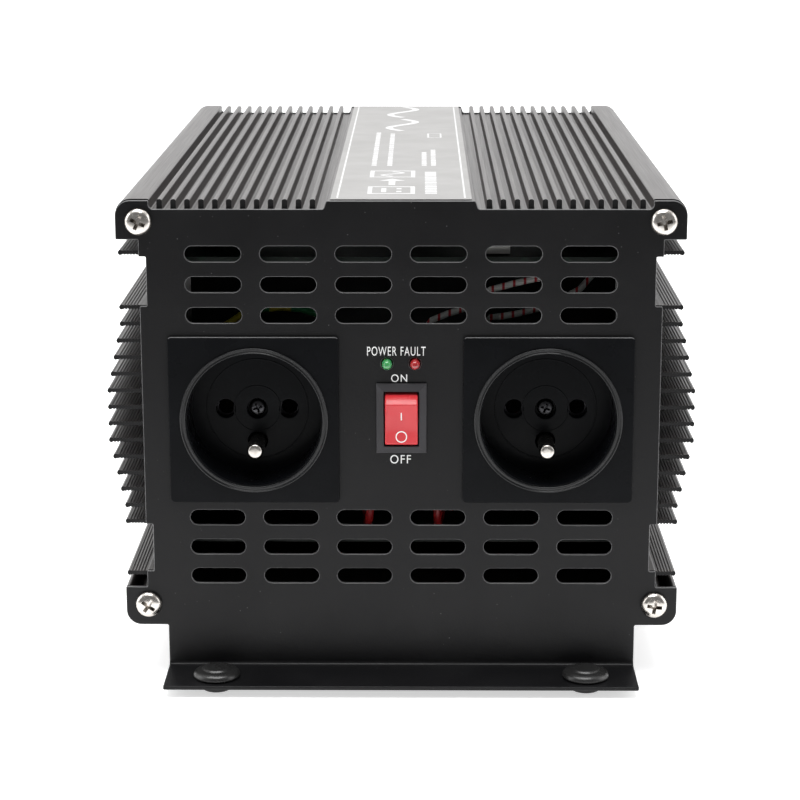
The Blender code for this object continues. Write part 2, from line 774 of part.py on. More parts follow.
def make_switch(parent):
    half_w = BEZEL_WIDTH / 2
    half_h = BEZEL_HEIGHT / 2
    bezel = box_mesh("bezel", (-half_w, BEZEL_FRONT, -half_h), (half_w, -GAP, half_h))
    housing = add_object("switch_housing", bezel, SWITCH_GREY, parent)
    bevel(housing, 0.0006, 2)
    half_w = SWITCH_BODY_WIDTH / 2
    half_h = SWITCH_BODY_HEIGHT / 2
    join(housing, box_mesh("switch_body", (-half_w, -0.0011, -half_h), (half_w, SWITCH_BACK, half_h)))
    half_w = SWITCH_CAVITY_WIDTH / 2
    half_h = SWITCH_CAVITY_HEIGHT / 2
    cavity_front = BEZEL_FRONT - 0.002
    cut(housing, box_mesh("cavity", (-half_w, cavity_front, -half_h), (half_w, SWITCH_CAVITY_BACK, half_h)))

    end = math.degrees(math.acos(ROCKER_END / ROCKER_RADIUS))
    back = math.degrees(math.acos(ROCKER_BACK / ROCKER_RADIUS))
    top = arc(0, 0, ROCKER_RADIUS, end, back, 6)
    outline = [(ROCKER_CREST, 0)] + top + [(y, -z) for y, z in reversed(top)]
    rocker_mesh = outline_mesh("switch_rocker", [outline], -ROCKER_WIDTH / 2, ROCKER_WIDTH / 2)
    # The outline was drawn with its depth along X: a quarter turn puts the depth along Y.
    rocker_mesh.transform(Matrix.Rotation(math.radians(90), 4, "Z"))
    rocker = add_object("switch_rocker", rocker_mesh, SWITCH_RED, parent, (0, ROCKER_PIVOT_Y, 0))
    rocker.rotation_euler.x = math.radians(ROCKER_TRAVEL / 2)
    bevel(rocker, 0.0003, 1)


def make_lamp(name, x, material, parent):
    profile = [
        (0, 0.0030),
        (0.0008, 0.0027),
        (0.0013, 0.0020),
        (LAMP_RADIUS, 0.0012),
        (LAMP_RADIUS, -0.0050),
        (0, -0.0050),
    ]
    add_object(name, turned_mesh(name, profile, 12), material, parent, (x, 0, LAMP_Z))


# Fans


def make_fan(side, parent):
    """A fan behind the panel; side counts as seen from outside the rear."""
    where = "left" if side < 0 else "right"
    place = (side * FAN_X, 0, FAN_Z)
    front = SHEET + GAP
    back = front + FAN_DEPTH
    half = FAN_HOLE_SPACING / 2
    loops = [rectangle(0, 0, FAN_SIZE, FAN_SIZE), circle(0, 0, FAN_BORE_RADIUS, 32)]
    for x in (-half, half):
        for z in (-half, half):
            loops.append(circle(x, z, FAN_HOLE_RADIUS, 8))
    mesh = outline_mesh("fan_frame", loops, front, back)
    frame = add_object(f"fan_frame_{where}", mesh, BLACK_PLASTIC, parent, place)
    join(frame, cylinder_mesh("motor_base", 0, 0, MOTOR_RADIUS, back - MOTOR_THICK, back, 20))
    for turn in (0, 1):
        low = Vector((-FAN_BORE_RADIUS - 0.0008, back - MOTOR_THICK + 0.0002, -0.0016))
        high = Vector((FAN_BORE_RADIUS + 0.0008, back - 0.0002, 0.0016))
        strut = box_mesh(f"strut_{turn}", low, high)
        strut.transform(Matrix.Rotation(math.radians(20 + 90 * turn), 4, "Y"))
        join(frame, strut)

    hub_front = front + ROTOR_GAP
    hub_back = back - MOTOR_THICK - ROTOR_GAP
    middle = (hub_front + hub_back) / 2
    hub = cylinder_mesh("rotor_hub", 0, 0, ROTOR_RADIUS, hub_front, hub_back, 21)
    rotor = add_object(f"fan_rotor_{where}", hub, BLACK_PLASTIC, parent, place)
    for number in range(BLADE_COUNT):
        blade = box_mesh(
            f"blade_{number}",
            (-BLADE_CHORD / 2, -BLADE_THICK / 2, ROTOR_RADIUS - 0.0020),
            (BLADE_CHORD / 2, BLADE_THICK / 2, ROTOR_TIP - 0.0007),
        )
        pitch = Matrix.Rotation(math.radians(BLADE_PITCH), 4, "Z")
        spin = Matrix.Rotation(math.radians(360 * number / BLADE_COUNT), 4, "Y")
        blade.transform(Matrix.Translation((0, middle, 0)) @ spin @ pitch)
        join(rotor, blade)


def make_guard(side, parent):
    """A wire finger guard: concentric rings on four diagonal spokes that end in screw eyes."""
    where = "left" if side < 0 else "right"
    place = (side * FAN_X, 0, FAN_Z)
    reach = FAN_HOLE_SPACING / math.sqrt(2)
    spoke_low = (-GUARD_WIRE, GUARD_SPOKE_Y - GUARD_WIRE, -reach)
    spoke_high = (GUARD_WIRE, GUARD_SPOKE_Y + GUARD_WIRE, reach)
    first = box_mesh("spoke_a", spoke_low, spoke_high)
    first.transform(Matrix.Rotation(math.radians(45), 4, "Y"))
    guard = add_object(f"fan_guard_{where}", first, CHROME_WIRE, parent, place)
    second = box_mesh("spoke_b", spoke_low, spoke_high)
    second.transform(Matrix.Rotation(math.radians(-45), 4, "Y"))
    join(guard, second)
    for number, radius in enumerate(GUARD_RINGS):
        section = [
            (radius, -GUARD_RING_Y + GUARD_WIRE),
            (radius + GUARD_WIRE, -GUARD_RING_Y),
            (radius, -GUARD_RING_Y - GUARD_WIRE),
            (radius - GUARD_WIRE, -GUARD_RING_Y),
        ]
        join(guard, turned_mesh(f"ring_{number}", section, 16, closed=True))
    half = FAN_HOLE_SPACING / 2
    for number, (x, z) in enumerate(((-half, -half), (half, -half), (half, half), (-half, half))):
        join(guard, cylinder_mesh(f"eye_{number}", x, z, GUARD_EYE_RADIUS, -GAP - 0.0014, -GAP, 12))


# Battery terminals


def hexagon(across_flats):
    return circle(0, 0, across_flats / math.sqrt(3), 6)


def make_terminal(colour, x, material, parent):
    place = (x, 0, TERMINAL_Z)
    bore = STUD_RADIUS + 0.0004
    base_profile = [
        (bore, BARREL_TOP),
        (0.0090, BARREL_TOP),
        (0.0095, BARREL_TOP - 0.0006),
        (0.0095, 0.0037),
        (0.0132, 0.0033),
        (0.0135, 0.0028),
        (0.0135, GAP),
        (0.0064, GAP),
        (0.0064, -0.0060),
        (bore, -0.0060),
    ]
    base = turned_mesh("terminal_base", base_profile, 16, closed=True)
    add_object(f"{colour}_terminal_base", base, material, parent, place)
    stud_profile = [
        (0, STUD_OUT),
        (STUD_RADIUS - 0.0007, STUD_OUT),
        (STUD_RADIUS, STUD_OUT - 0.0007),
        (STUD_RADIUS, -STUD_IN),
        (0, -STUD_IN),
    ]
    add_object(f"{colour}_terminal_stud", turned_mesh("stud", stud_profile, 16), BRASS, parent, place)
    nut_back = -BARREL_TOP - GAP
    loops = [hexagon(NUT_ACROSS_FLATS), circle(0, 0, NUT_HOLE_RADIUS, 16)]
    nut = outline_mesh("nut", loops, nut_back - NUT_THICK, nut_back)
    add_object(f"{colour}_terminal_nut", nut, NICKEL, parent, place)


# Inside the case


def make_board(name, upside, y_front, y_back, parent):
    slot_middle = (BOARD_SLOT_LOW + BOARD_SLOT_HIGH) / 2 * upside
    half = BOARD_THICK / 2
    low = (-BOARD_HALF, y_front, slot_middle - half)
    high = (BOARD_HALF, y_back, slot_middle + half)
    return add_object(name, box_mesh(name, low, high), BOARD_GREEN, parent)


def make_transformer(name, x, floor, parent):
    """Ferrite E cores with the winding block standing out of both sides."""
    width, depth, height = TRANSFORMER_CORE
    core = box_mesh(name, (-width / 2, -depth / 2, 0), (width / 2, depth / 2, height))
    obj = add_object(name, core, FERRITE, parent, (x, TRANSFORMER_Y, floor))
    width, depth, height = WINDING_SIZE
    low = (-width / 2, -depth / 2, WINDING_LIFT)
    join(obj, box_mesh("winding", low, (width / 2, depth / 2, WINDING_LIFT + height)))


def make_capacitor(name, x, y, floor, size, parent):
    """A standing can with a groove rolled in near its foot."""
    radius, height = size
    profile = [
        (0, height),
        (radius - CAN_GROOVE, height),
        (radius, height - CAN_GROOVE),
        (radius, 0.0030),
        (radius - CAN_GROOVE, 0.0022),
        (radius, 0.0014),
        (radius, 0),
        (0, 0),
    ]
    mesh = turned_mesh(name, profile, 12, axis="Z")
    add_object(name, mesh, CAN_BLACK, parent, (x, y, floor))


def make_coil(name, place, parent):
    """A wound toroid standing on its edge, its axis along X."""
    section = circle(COIL_RADIUS, 0, COIL_SECTION_RADIUS, 8)
    mesh = turned_mesh(name, list(reversed(section)), 16, closed=True, axis="Z")
    mesh.transform(Matrix.Rotation(math.radians(90), 4, "Y"))
    add_object(name, mesh, COPPER, parent, place)


def make_transistor_row(name, side, parent):
    """A steel clamp bar with seven power transistors behind it against the side wall."""
    inner = sorted((side * CLAMP_IN, side * CLAMP_OUT))
    low = (inner[0], -CLAMP_HALF_LENGTH, CLAMP_LOW)
    high = (inner[1], CLAMP_HALF_LENGTH, CLAMP_HIGH)
    row = add_object(name, box_mesh(name, low, high), FERRITE, parent)
    outer = sorted((side * (CLAMP_OUT - 0.0004), side * TRANSISTOR_OUT))
    for number in range(TRANSISTOR_COUNT):
        y = (number - (TRANSISTOR_COUNT - 1) / 2) * TRANSISTOR_PITCH
        low = (outer[0], y - TRANSISTOR_HALF_WIDTH, TRANSISTOR_LOW)
        high = (outer[1], y + TRANSISTOR_HALF_WIDTH, TRANSISTOR_HIGH)
        join(row, box_mesh(f"transistor_{number}", low, high))


def make_inside(parent, front_face):
    floor = -BOARD_SLOT_LOW + 0.0002
    make_board("power_board", -1, *POWER_BOARD_SPAN, parent)
    make_board("output_board", 1, *OUTPUT_BOARD_SPAN, parent)
    for where, side in (("left", -1), ("right", 1)):
        make_transformer(f"transformer_{where}", side * TRANSFORMER_X, floor, parent)
        x, y = HIGH_VOLTAGE_CAN_PLACE
        make_capacitor(f"high_voltage_capacitor_{where}", side * x, y, floor, HIGH_VOLTAGE_CAN, parent)
        x, y = INPUT_CAN_PLACE
        make_capacitor(f"input_capacitor_{where}", side * x, y, floor, INPUT_CAN, parent)
        make_transistor_row(f"transistor_row_{where}", side, parent)
    coil_height = floor + COIL_RADIUS + COIL_SECTION_RADIUS
    make_coil("output_coil", (*COIL_PLACE, coil_height), parent)

    width, depth, height = CONNECTOR_SIZE
    x, y = CONNECTOR_PLACE
    low = BOARD_SLOT_HIGH + 0.0002
    connector = box_mesh("lead_connector", (x, y, low), (x + width, y + depth, low + height))
    add_object("lead_connector", connector, WIRE_WHITE, front_face)

    lead_start = PANEL_FACE - STUD_IN - GAP
    for colour, x, material in (("red", TERMINAL_X, WIRE_RED), ("black", -TERMINAL_X, WIRE_BLACK)):
        route = [
            (x, lead_start, TERMINAL_Z),
            (x, lead_start - 0.0040, TERMINAL_Z),
            (x * 0.97, lead_start - 0.0100, TERMINAL_Z - 0.0010),
            (x * 0.90, lead_start - 0.0160, TERMINAL_Z - 0.0038),
            (x * 0.83, lead_start - 0.0200, TERMINAL_Z - 0.0054),
        ]
        add_wire(f"battery_lead_{colour}", route, BATTERY_LEAD_RADIUS, material, parent, 2)

    earth = [
        (-0.0432, 0.0367, -0.0109),
        (-0.0434, 0.0392, -0.0108),
        (-0.0510, 0.0412, -0.0060),
        (-0.0570, 0.0415, 0.0050),
        (-0.0575, 0.0412, 0.0150),
        (-0.0500, 0.0405, 0.0222),
        (-0.0370, 0.0400, 0.0249),
        (-0.0250, 0.0398, 0.0222),
        (-0.0140, 0.0398, 0.0130),
        (-0.0030, 0.0400, 0.0020),
        (0.0120, 0.0405, -0.0080),
        (0.0280, 0.0408, -0.0130),
        (0.0428, 0.0394, -0.0110),
        (0.0432, 0.0367, -0.0109),
    ]
    add_wire("earth_wire", earth, EARTH_WIRE_RADIUS, WIRE_EARTH, front_face, 2)
    live = [
        (0.0030, 0.0146, 0.0060),
        (0.0030, 0.0172, 0.0066),
        (0.0050, 0.0195, 0.0170),
        (0.0091, 0.0200, 0.0249),
        (0.0189, 0.0200, 0.0285),
        (0.0266, 0.0200, 0.0342),
        (0.0411, 0.0200, 0.0378),
        (0.0500, 0.0230, 0.0405),
        (0.0530, 0.0260, 0.0428),
    ]
    add_wire("live_lead", live, MAINS_LEAD_RADIUS, WIRE_WHITE, front_face, 2)
    neutral = [
        (0.0337, 0.0366, -0.0009),
        (0.0335, 0.0392, 0.0010),
        (0.0290, 0.0400, 0.0110),
        (0.0262, 0.0355, 0.0215),
        (0.0300, 0.0275, 0.0245),
        (0.0414, 0.0260, 0.0273),
        (0.0540, 0.0280, 0.0330),
        (0.0590, 0.0310, 0.0395),
        (0.0600, 0.0330, 0.0428),
    ]
    add_wire("neutral_lead", neutral, MAINS_LEAD_RADIUS, WIRE_WHITE, front_face, 2)


def main():
    clear_scene()
    case = new_empty("case_centre", (0, 0, MID_HEIGHT))
    front_face = new_empty("front_face", (0, -PANEL_FACE, MID_HEIGHT))
    rear_face = new_empty("rear_face", (0, PANEL_FACE, MID_HEIGHT), 180)

    make_shell("top_shell", 1, case)
    make_shell("bottom_shell", -1, case)
    make_label(case)
    make_panel("front_panel", front_cutouts(), front_face)
    make_panel("rear_panel", rear_cutouts(), rear_face)
    for where, face in (("front", front_face), ("rear", rear_face)):
        make_panel_screws(where, face)
        make_feet(where, face)
    for side in (-1, 1):
        make_outlet(side, front_face)
        make_fan(side, rear_face)
        make_guard(side, rear_face)
    make_switch(front_face)
    make_lamp("power_lamp", -LAMP_X, LAMP_GREEN, front_face)
    make_lamp("fault_lamp", LAMP_X, LAMP_RED, front_face)
    make_terminal("red", -TERMINAL_X, TERMINAL_RED, rear_face)
    make_terminal("black", TERMINAL_X, BLACK_PLASTIC, rear_face)
    make_inside(case, front_face)


main()
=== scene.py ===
"""Looks of the power inverter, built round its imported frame. Metres, +Z up, front towards -Y."""

import math
import random

import bmesh
import bpy
from mathutils import Matrix, Vector


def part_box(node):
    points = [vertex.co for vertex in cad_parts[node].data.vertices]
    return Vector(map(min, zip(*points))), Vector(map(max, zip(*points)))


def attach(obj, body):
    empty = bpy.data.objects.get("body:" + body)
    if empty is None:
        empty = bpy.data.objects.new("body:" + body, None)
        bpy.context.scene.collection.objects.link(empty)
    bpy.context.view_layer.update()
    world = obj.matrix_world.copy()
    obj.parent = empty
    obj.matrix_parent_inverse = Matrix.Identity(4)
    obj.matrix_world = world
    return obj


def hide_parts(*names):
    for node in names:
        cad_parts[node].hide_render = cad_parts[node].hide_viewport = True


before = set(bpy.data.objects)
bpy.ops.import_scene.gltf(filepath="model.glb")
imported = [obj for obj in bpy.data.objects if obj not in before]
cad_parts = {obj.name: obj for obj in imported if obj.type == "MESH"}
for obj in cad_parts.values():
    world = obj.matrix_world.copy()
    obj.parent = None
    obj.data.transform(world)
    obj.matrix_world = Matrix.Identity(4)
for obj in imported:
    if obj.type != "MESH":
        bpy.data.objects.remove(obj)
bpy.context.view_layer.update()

# Where the object's own planes lie, read from the frame.
SHEET = 0.0012
MID = (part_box("top_shell")[0].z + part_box("bottom_shell")[1].z) / 2
CASE_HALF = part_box("top_shell")[1].y
FRONT_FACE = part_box("front_panel")[1].y - SHEET
REAR_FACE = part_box("rear_panel")[0].y + SHEET
CENTRE = Matrix.Translation((0, 0, MID))
FRONT = Matrix.Translation((0, FRONT_FACE, MID))
REAR = Matrix.Translation((0, REAR_FACE, MID)) @ Matrix.Rotation(math.pi, 4, "Z")

# Camera, light and floor

PITCH = math.radians(13.62)
YAW = math.radians(-0.53)
ROLL = math.radians(-0.06)


def make_camera():
    forward = Vector((math.sin(YAW) * math.cos(PITCH), math.cos(YAW) * math.cos(PITCH), -math.sin(PITCH)))
    right = Vector((math.cos(YAW), -math.sin(YAW), 0))
    up = right.cross(forward)
    across = right * math.cos(ROLL) + up * math.sin(ROLL)
    upward = up * math.cos(ROLL) - right * math.sin(ROLL)
    data = bpy.data.cameras.new("camera")
    data.sensor_width = 36
    data.lens = 101.7
    camera = bpy.data.objects.new("camera", data)
    turn = Matrix((across, upward, -forward)).transposed()
    camera.matrix_world = Matrix.Translation((0.00565, -0.7688, 0.2419)) @ turn.to_4x4()
    bpy.context.scene.collection.objects.link(camera)
    bpy.context.scene.camera = camera


def set_inputs(node, **values):
    """Sets a shader node's inputs; an underscore in a name stands for a space."""
    for name, value in values.items():
        node.inputs[name.replace("_", " ")].default_value = value


def add_node(tree, kind, **values):
    node = tree.nodes.new("ShaderNode" + kind)
    set_inputs(node, **values)
    return node


def y_ramp(tree, coordinates, start, end, low, high, target):
    """Drives a shader input from low to high along Y."""
    place = add_node(tree, "TexCoord")
    split = add_node(tree, "SeparateXYZ")
    tree.links.new(place.outputs[coordinates], split.inputs[0])
    ramp = add_node(tree, "MapRange", From_Min=start, From_Max=end, To_Min=low, To_Max=high)
    ramp.interpolation_type = "SMOOTHSTEP"
    tree.links.new(split.outputs["Y"], ramp.inputs["Value"])
    tree.links.new(ramp.outputs["Result"], target)


def make_world():
    """A white studio that is dimmer on the camera's side."""
    world = bpy.data.worlds.new("studio")
    world.use_nodes = True
    background = world.node_tree.nodes["Background"]
    set_inputs(background, Color=(1, 1, 1, 1))
    y_ramp(world.node_tree, "Generated", -0.7, 0.5, 0.24, 1.2, background.inputs["Strength"])
    bpy.context.scene.world = world


def add_softbox(name, location, aim, width, height, energy):
    data = bpy.data.lights.new(name, "AREA")
    data.shape = "RECTANGLE"
    data.size = width
    data.size_y = height
    data.energy = energy
    light = bpy.data.objects.new(name, data)
    light.location = location
    light.rotation_euler = (Vector(aim) - Vector(location)).to_track_quat("-Z", "Y").to_euler()
    bpy.context.scene.collection.objects.link(light)


def make_floor():
    """White near the object and dim further towards the camera, which the black front reflects."""
    bm = bmesh.new()
    bmesh.ops.create_grid(bm, x_segments=8, y_segments=8, size=6.0)
    mesh = bpy.data.meshes.new("floor")
    bm.to_mesh(mesh)
    bm.free()
    floor = bpy.data.objects.new("floor", mesh)
    bpy.context.scene.collection.objects.link(floor)
    material = bpy.data.materials.new("floor_white")
    material.use_nodes = True
    shader = material.node_tree.nodes["Principled BSDF"]
    set_inputs(shader, Roughness=0.9, Specular_IOR_Level=0.1, Emission_Color=(1, 1, 1, 1))
    for low, high, name in ((0.24, 0.88, "Base Color"), (0.0, 0.58, "Emission Strength")):
        y_ramp(material.node_tree, "Object", -0.64, -0.22, low, high, shader.inputs[name])
    mesh.materials.append(material)


make_camera()
make_world()
bpy.context.scene.view_settings.view_transform = "Standard"
add_softbox("key_above", (-0.10, -0.22, 1.20), (0, -0.02, 0.08), 1.0, 0.8, 16)
add_softbox("side_left", (-1.25, -0.10, 0.55), (0, 0, 0.08), 0.9, 0.9, 5)
add_softbox("side_right", (1.25, -0.10, 0.55), (0, 0, 0.08), 0.9, 0.9, 4)
make_floor()


# Materials

MM = 1000.0


class Finish:
    """A procedural material on object coordinates, in millimetres."""

    def __init__(self, name, colour, roughness, metallic=0.0, ior=1.5, gloss=0.5):
        self.material = bpy.data.materials.new(name)
        self.material.use_nodes = True
        self.tree = self.material.node_tree
        self.shader = self.tree.nodes["Principled BSDF"]
        set_inputs(self.shader, Base_Color=(*colour, 1), Roughness=roughness, Metallic=metallic, IOR=ior)
        set_inputs(self.shader, Specular_IOR_Level=gloss)
        self.last_bump = None
        place = self.node("TexCoord")
        self.vector = self.scaled(place.outputs["Object"], (MM, MM, MM))

    def node(self, kind, **values):
        return add_node(self.tree, kind, **values)

    def link(self, source, target):
        self.tree.links.new(source, target)

    def scaled(self, vector, scale):
        mapping = self.node("Mapping", Scale=scale)
        self.link(vector, mapping.inputs["Vector"])
        return mapping.outputs["Vector"]

    def stretch(self, scale):
        """The same coordinates, drawn out along an axis."""
        return self.scaled(self.vector, scale)

    def texture(self, kind, vector=None, **values):
        node = self.node("Tex" + kind, **values)
        self.link(vector or self.vector, node.inputs["Vector"])
        return node

    def noise(self, scale, detail=3.0, vector=None):
        return self.texture("Noise", vector, Scale=scale, Detail=detail).outputs["Fac"]

    def spread(self, value, low, high, from_low=0.3, from_high=0.7):
        node = self.node("MapRange", From_Min=from_low, From_Max=from_high, To_Min=low, To_Max=high)
        self.link(value, node.inputs["Value"])
        return node.outputs["Result"]

    def bump(self, value, height):
        """Relief of the given height in metres."""
        node = self.node("Bump", Strength=1.0, Distance=height)
        self.link(value, node.inputs["Height"])
        if self.last_bump is not None:
            self.link(self.last_bump, node.inputs["Normal"])
        self.last_bump = node.outputs["Normal"]
        self.link(self.last_bump, self.shader.inputs["Normal"])

    def rough(self, value, low, high):
        self.link(self.spread(value, low, high), self.shader.inputs["Roughness"])

    def mix(self, factor, first, second):
        node = self.node("Mix")
        node.data_type = "RGBA"
        self.link(factor, node.inputs["Factor"])
        for socket, colour in ((node.inputs["A"], first), (node.inputs["B"], second)):
            if isinstance(colour, tuple):
                socket.default_value = (*colour, 1)
            else:
                self.link(colour, socket)
        return node.outputs["Result"]

    def blend(self, factor, first, second):
        """Colour that goes from the first tone to the second with the factor."""
        self.link(self.mix(factor, first, second), self.shader.inputs["Base Color"])

    def tint(self, value, first, second):
        """Colour that wanders between two tones with the value."""
        self.blend(self.spread(value, 0, 1), first, second)


def specks(finish, scale, size, first, second):
    """Tiny scattered dust points over a tone."""
    cells = finish.texture("Voronoi", Scale=scale)
    dots = finish.spread(cells.outputs["Distance"], 1, 0, size * 0.6, size)
    few = finish.spread(finish.noise(0.11, 2), 0, 0.8, 0.5, 0.7)
    both = finish.node("Math")
    both.operation = "MULTIPLY"
    finish.link(dots, both.inputs[0])
    finish.link(few, both.inputs[1])
    finish.blend(both.outputs[0], first, second)


def anodised_finish():
    """Extruded aluminium with fine lines along Y."""
    finish = Finish("black_anodised", (0.022, 0.021, 0.023), 0.3, ior=1.55)
    lines = finish.noise(2.2, 3, finish.stretch((1.0, 0.012, 1.0)))
    finish.tint(finish.noise(0.05, 3), (0.033, 0.0275, 0.027), (0.046, 0.040, 0.039))
    finish.rough(lines, 0.29, 0.36)
    finish.bump(lines, 0.000007)
    finish.bump(finish.noise(7.0, 2), 0.000006)
    return finish.material


def powder_finish():
    finish = Finish("black_powder_coat", (0.010, 0.010, 0.011), 0.4, gloss=0.22)
    patches = finish.spread(finish.noise(0.03, 3), 0, 1)
    base = finish.mix(patches, (0.0042, 0.0042, 0.0048), (0.0064, 0.0064, 0.0071))
    specks(finish, 0.42, 0.075, base, (0.16, 0.16, 0.16))
    finish.rough(finish.noise(0.06, 4), 0.36, 0.46)
    finish.bump(finish.noise(1.5, 2), 0.000035)
    finish.bump(finish.noise(5.0, 2), 0.000008)
    return finish.material


def plastic_finish(name, dark, light, low, high, relief=0.00001, gloss=0.5):
    finish = Finish(name, light, high, gloss=gloss)
    finish.tint(finish.noise(0.08, 3), dark, light)
    finish.rough(finish.noise(0.12, 4), low, high)
    finish.bump(finish.noise(3.0, 3), relief)
    return finish.material


def metal_finish(name, dark, light, low, high, relief=0.000006):
    finish = Finish(name, light, high, metallic=1.0)
    finish.tint(finish.noise(0.5, 4), dark, light)
    finish.rough(finish.noise(1.4, 4), low, high)
    finish.bump(finish.noise(6.0, 3), relief)
    return finish.material


def turned_metal_finish(name, dark, light, low, high):
    """Metal whose wear is drawn out across the panel's normal."""
    finish = Finish(name, light, high, metallic=1.0)
    finish.tint(finish.noise(0.6, 4), dark, light)
    finish.rough(finish.noise(2.0, 4, finish.stretch((1.0, 3.0, 1.0))), low, high)
    finish.bump(finish.noise(4.0, 3), 0.000008)
    return finish.material


def striped_finish(name, first, second, pitch, share):
    """Insulation with printed stripes of the second colour, pitch millimetres apart along X."""
    finish = Finish(name, first, 0.38)
    wave = finish.texture("Wave", Scale=0.314 / pitch, Distortion=0.0)
    factor = finish.spread(wave.outputs["Fac"], 0, 1, share - 0.05, share + 0.05)
    finish.blend(factor, first, second)
    finish.bump(finish.noise(2.0, 2), 0.00001)
    return finish.material


def lamp_finish(name, colour, dark):
    finish = Finish(name, colour, 0.12)
    finish.tint(finish.noise(0.9, 2), dark, colour)
    set_inputs(finish.shader, Subsurface_Weight=0.25, Subsurface_Scale=0.001)
    set_inputs(finish.shader, Coat_Weight=1.0, Coat_Roughness=0.05)
    finish.bump(finish.noise(1.0, 2), 0.00001)
    return finish.material


def label_finish():
    finish = Finish("label_grey", (0.29, 0.285, 0.28), 0.35)
    finish.tint(finish.noise(0.06, 3), (0.250, 0.245, 0.240), (0.270, 0.265, 0.260))
    finish.rough(finish.noise(0.08, 3), 0.36, 0.44)
    finish.bump(finish.noise(1.2, 2), 0.000004)
    return finish.material


def board_finish():
    finish = Finish("board_green", (0.02, 0.10, 0.045), 0.35)
    tracks = finish.texture("Voronoi", Scale=0.22)
    tracks.distance = "MANHATTAN"
    lands = finish.spread(tracks.outputs["Distance"], 0, 1, 0.34, 0.38)
    finish.blend(lands, (0.006, 0.022, 0.013), (0.003, 0.010, 0.006))
    finish.bump(lands, 0.00004)
    return finish.material


def coil_finish():
    finish = Finish("enamelled_copper", (0.55, 0.20, 0.07), 0.3, metallic=1.0)
    wave = finish.texture("Wave", Scale=0.25)
    wave.bands_direction = "Y"
    finish.tint(wave.outputs["Fac"], (0.28, 0.08, 0.03), (0.60, 0.24, 0.09))
    finish.bump(wave.outputs["Fac"], 0.0003)
    return finish.material


ANODISED = anodised_finish()
POWDER = powder_finish()
# A lighter grey for rims and top edges: a painted highlight.
RIM_HIGHLIGHT = plastic_finish("painted_rim_highlight", (0.075, 0.075, 0.077), (0.105, 0.105, 0.107), 0.34, 0.44, 0.00001)
# Much darker than the anodised body, for the shells' end faces: painted shade.
END_SHADE = plastic_finish("shell_end_shade", (0.0045, 0.0045, 0.005), (0.008, 0.008, 0.0085), 0.45, 0.60, 0.00002, 0.25)
OUTLET_DARK, OUTLET_LIGHT = (0.0024, 0.0027, 0.0034), (0.0038, 0.0042, 0.0052)
PLATE = plastic_finish("outlet_plastic", OUTLET_DARK, OUTLET_LIGHT, 0.24, 0.34, 0.000006, 0.08)
RING_DARK, RING_LIGHT = (0.004, 0.0044, 0.005), (0.007, 0.0075, 0.0085)
RING = plastic_finish("outlet_ring", RING_DARK, RING_LIGHT, 0.14, 0.24, 0.000006, 0.42)
PLASTIC = plastic_finish("fan_plastic", (0.010, 0.010, 0.011), (0.016, 0.016, 0.017), 0.34, 0.46, 0.00002)
BEZEL = plastic_finish("switch_black", (0.034, 0.033, 0.036), (0.044, 0.043, 0.047), 0.4, 0.5, gloss=0.22)
ROCKER_RED = plastic_finish("switch_red", (0.58, 0.026, 0.035), (0.68, 0.042, 0.052), 0.22, 0.30, 0.000008)
RUBBER = plastic_finish("black_rubber", (0.010, 0.010, 0.010), (0.017, 0.017, 0.017), 0.22, 0.34, 0.00002)
TERMINAL_RED = plastic_finish("terminal_red", (0.42, 0.012, 0.012), (0.55, 0.022, 0.020), 0.28, 0.38, 0.00002)
POLE_DARK, POLE_LIGHT = (0.012, 0.012, 0.013), (0.02, 0.02, 0.021)
TERMINAL_BLACK = plastic_finish("terminal_black", POLE_DARK, POLE_LIGHT, 0.28, 0.38, 0.00002)
NICKEL = turned_metal_finish("nickel", (0.50, 0.47, 0.44), (0.68, 0.65, 0.61), 0.14, 0.28)
DARK_STEEL = metal_finish("dark_steel", (0.035, 0.035, 0.038), (0.075, 0.075, 0.080), 0.25, 0.40)
CHROME = metal_finish("chrome_wire", (0.70, 0.70, 0.70), (0.82, 0.82, 0.82), 0.08, 0.16)
BRASS = metal_finish("brass", (0.62, 0.42, 0.16), (0.80, 0.60, 0.27), 0.22, 0.36)
LAMP_GREEN = lamp_finish("lamp_green", (0.07, 0.40, 0.13), (0.03, 0.24, 0.07))
LAMP_RED = lamp_finish("lamp_red", (0.46, 0.018, 0.022), (0.26, 0.008, 0.011))
LABEL = label_finish()
PRINT = plastic_finish("white_print", (0.84, 0.84, 0.84), (0.90, 0.90, 0.90), 0.40, 0.50, 0.000004)
# A darker copy of the white print for the top label, to offset the stronger light there: painted shade.
INK = plastic_finish("label_print", (0.52, 0.52, 0.52), (0.58, 0.58, 0.58), 0.40, 0.50, 0.000004)
BOARD = board_finish()
FERRITE = plastic_finish("ferrite", (0.045, 0.045, 0.048), (0.075, 0.074, 0.078), 0.50, 0.65, 0.00003)
SLEEVE = plastic_finish("capacitor_sleeve", (0.012, 0.013, 0.020), (0.020, 0.021, 0.030), 0.22, 0.32, 0.00001)
COPPER = coil_finish()
EARTH = striped_finish("wire_green_yellow", (0.03, 0.30, 0.10), (0.78, 0.66, 0.04), 15.0, 0.60)
WHITE_LEAD = striped_finish("wire_white", (0.86, 0.85, 0.83), (0.62, 0.05, 0.06), 3.2, 0.86)
RED_LEAD = plastic_finish("wire_red", (0.22, 0.006, 0.007), (0.30, 0.011, 0.012), 0.30, 0.42, 0.00002)
BLACK_LEAD = plastic_finish("wire_black", (0.010, 0.010, 0.011), (0.017, 0.017, 0.018), 0.30, 0.42, 0.00002)
NYLON = plastic_finish("nylon_white", (0.72, 0.71, 0.67), (0.80, 0.79, 0.75), 0.35, 0.48, 0.00001)


# Shapes


def arc(x, z, radius, start, end, steps):
    """Points on an arc about (x, z), angles in degrees from +X towards +Z."""
    points = []
    for step in range(steps + 1):
        angle = math.radians(start + (end - start) * step / steps)
        points.append((x + radius * math.cos(angle), z + radius * math.sin(angle)))
    return points


def circle(x, z, radius, steps=48):
    return arc(x, z, radius, 0, 360 * (steps - 1) / steps, steps - 1)


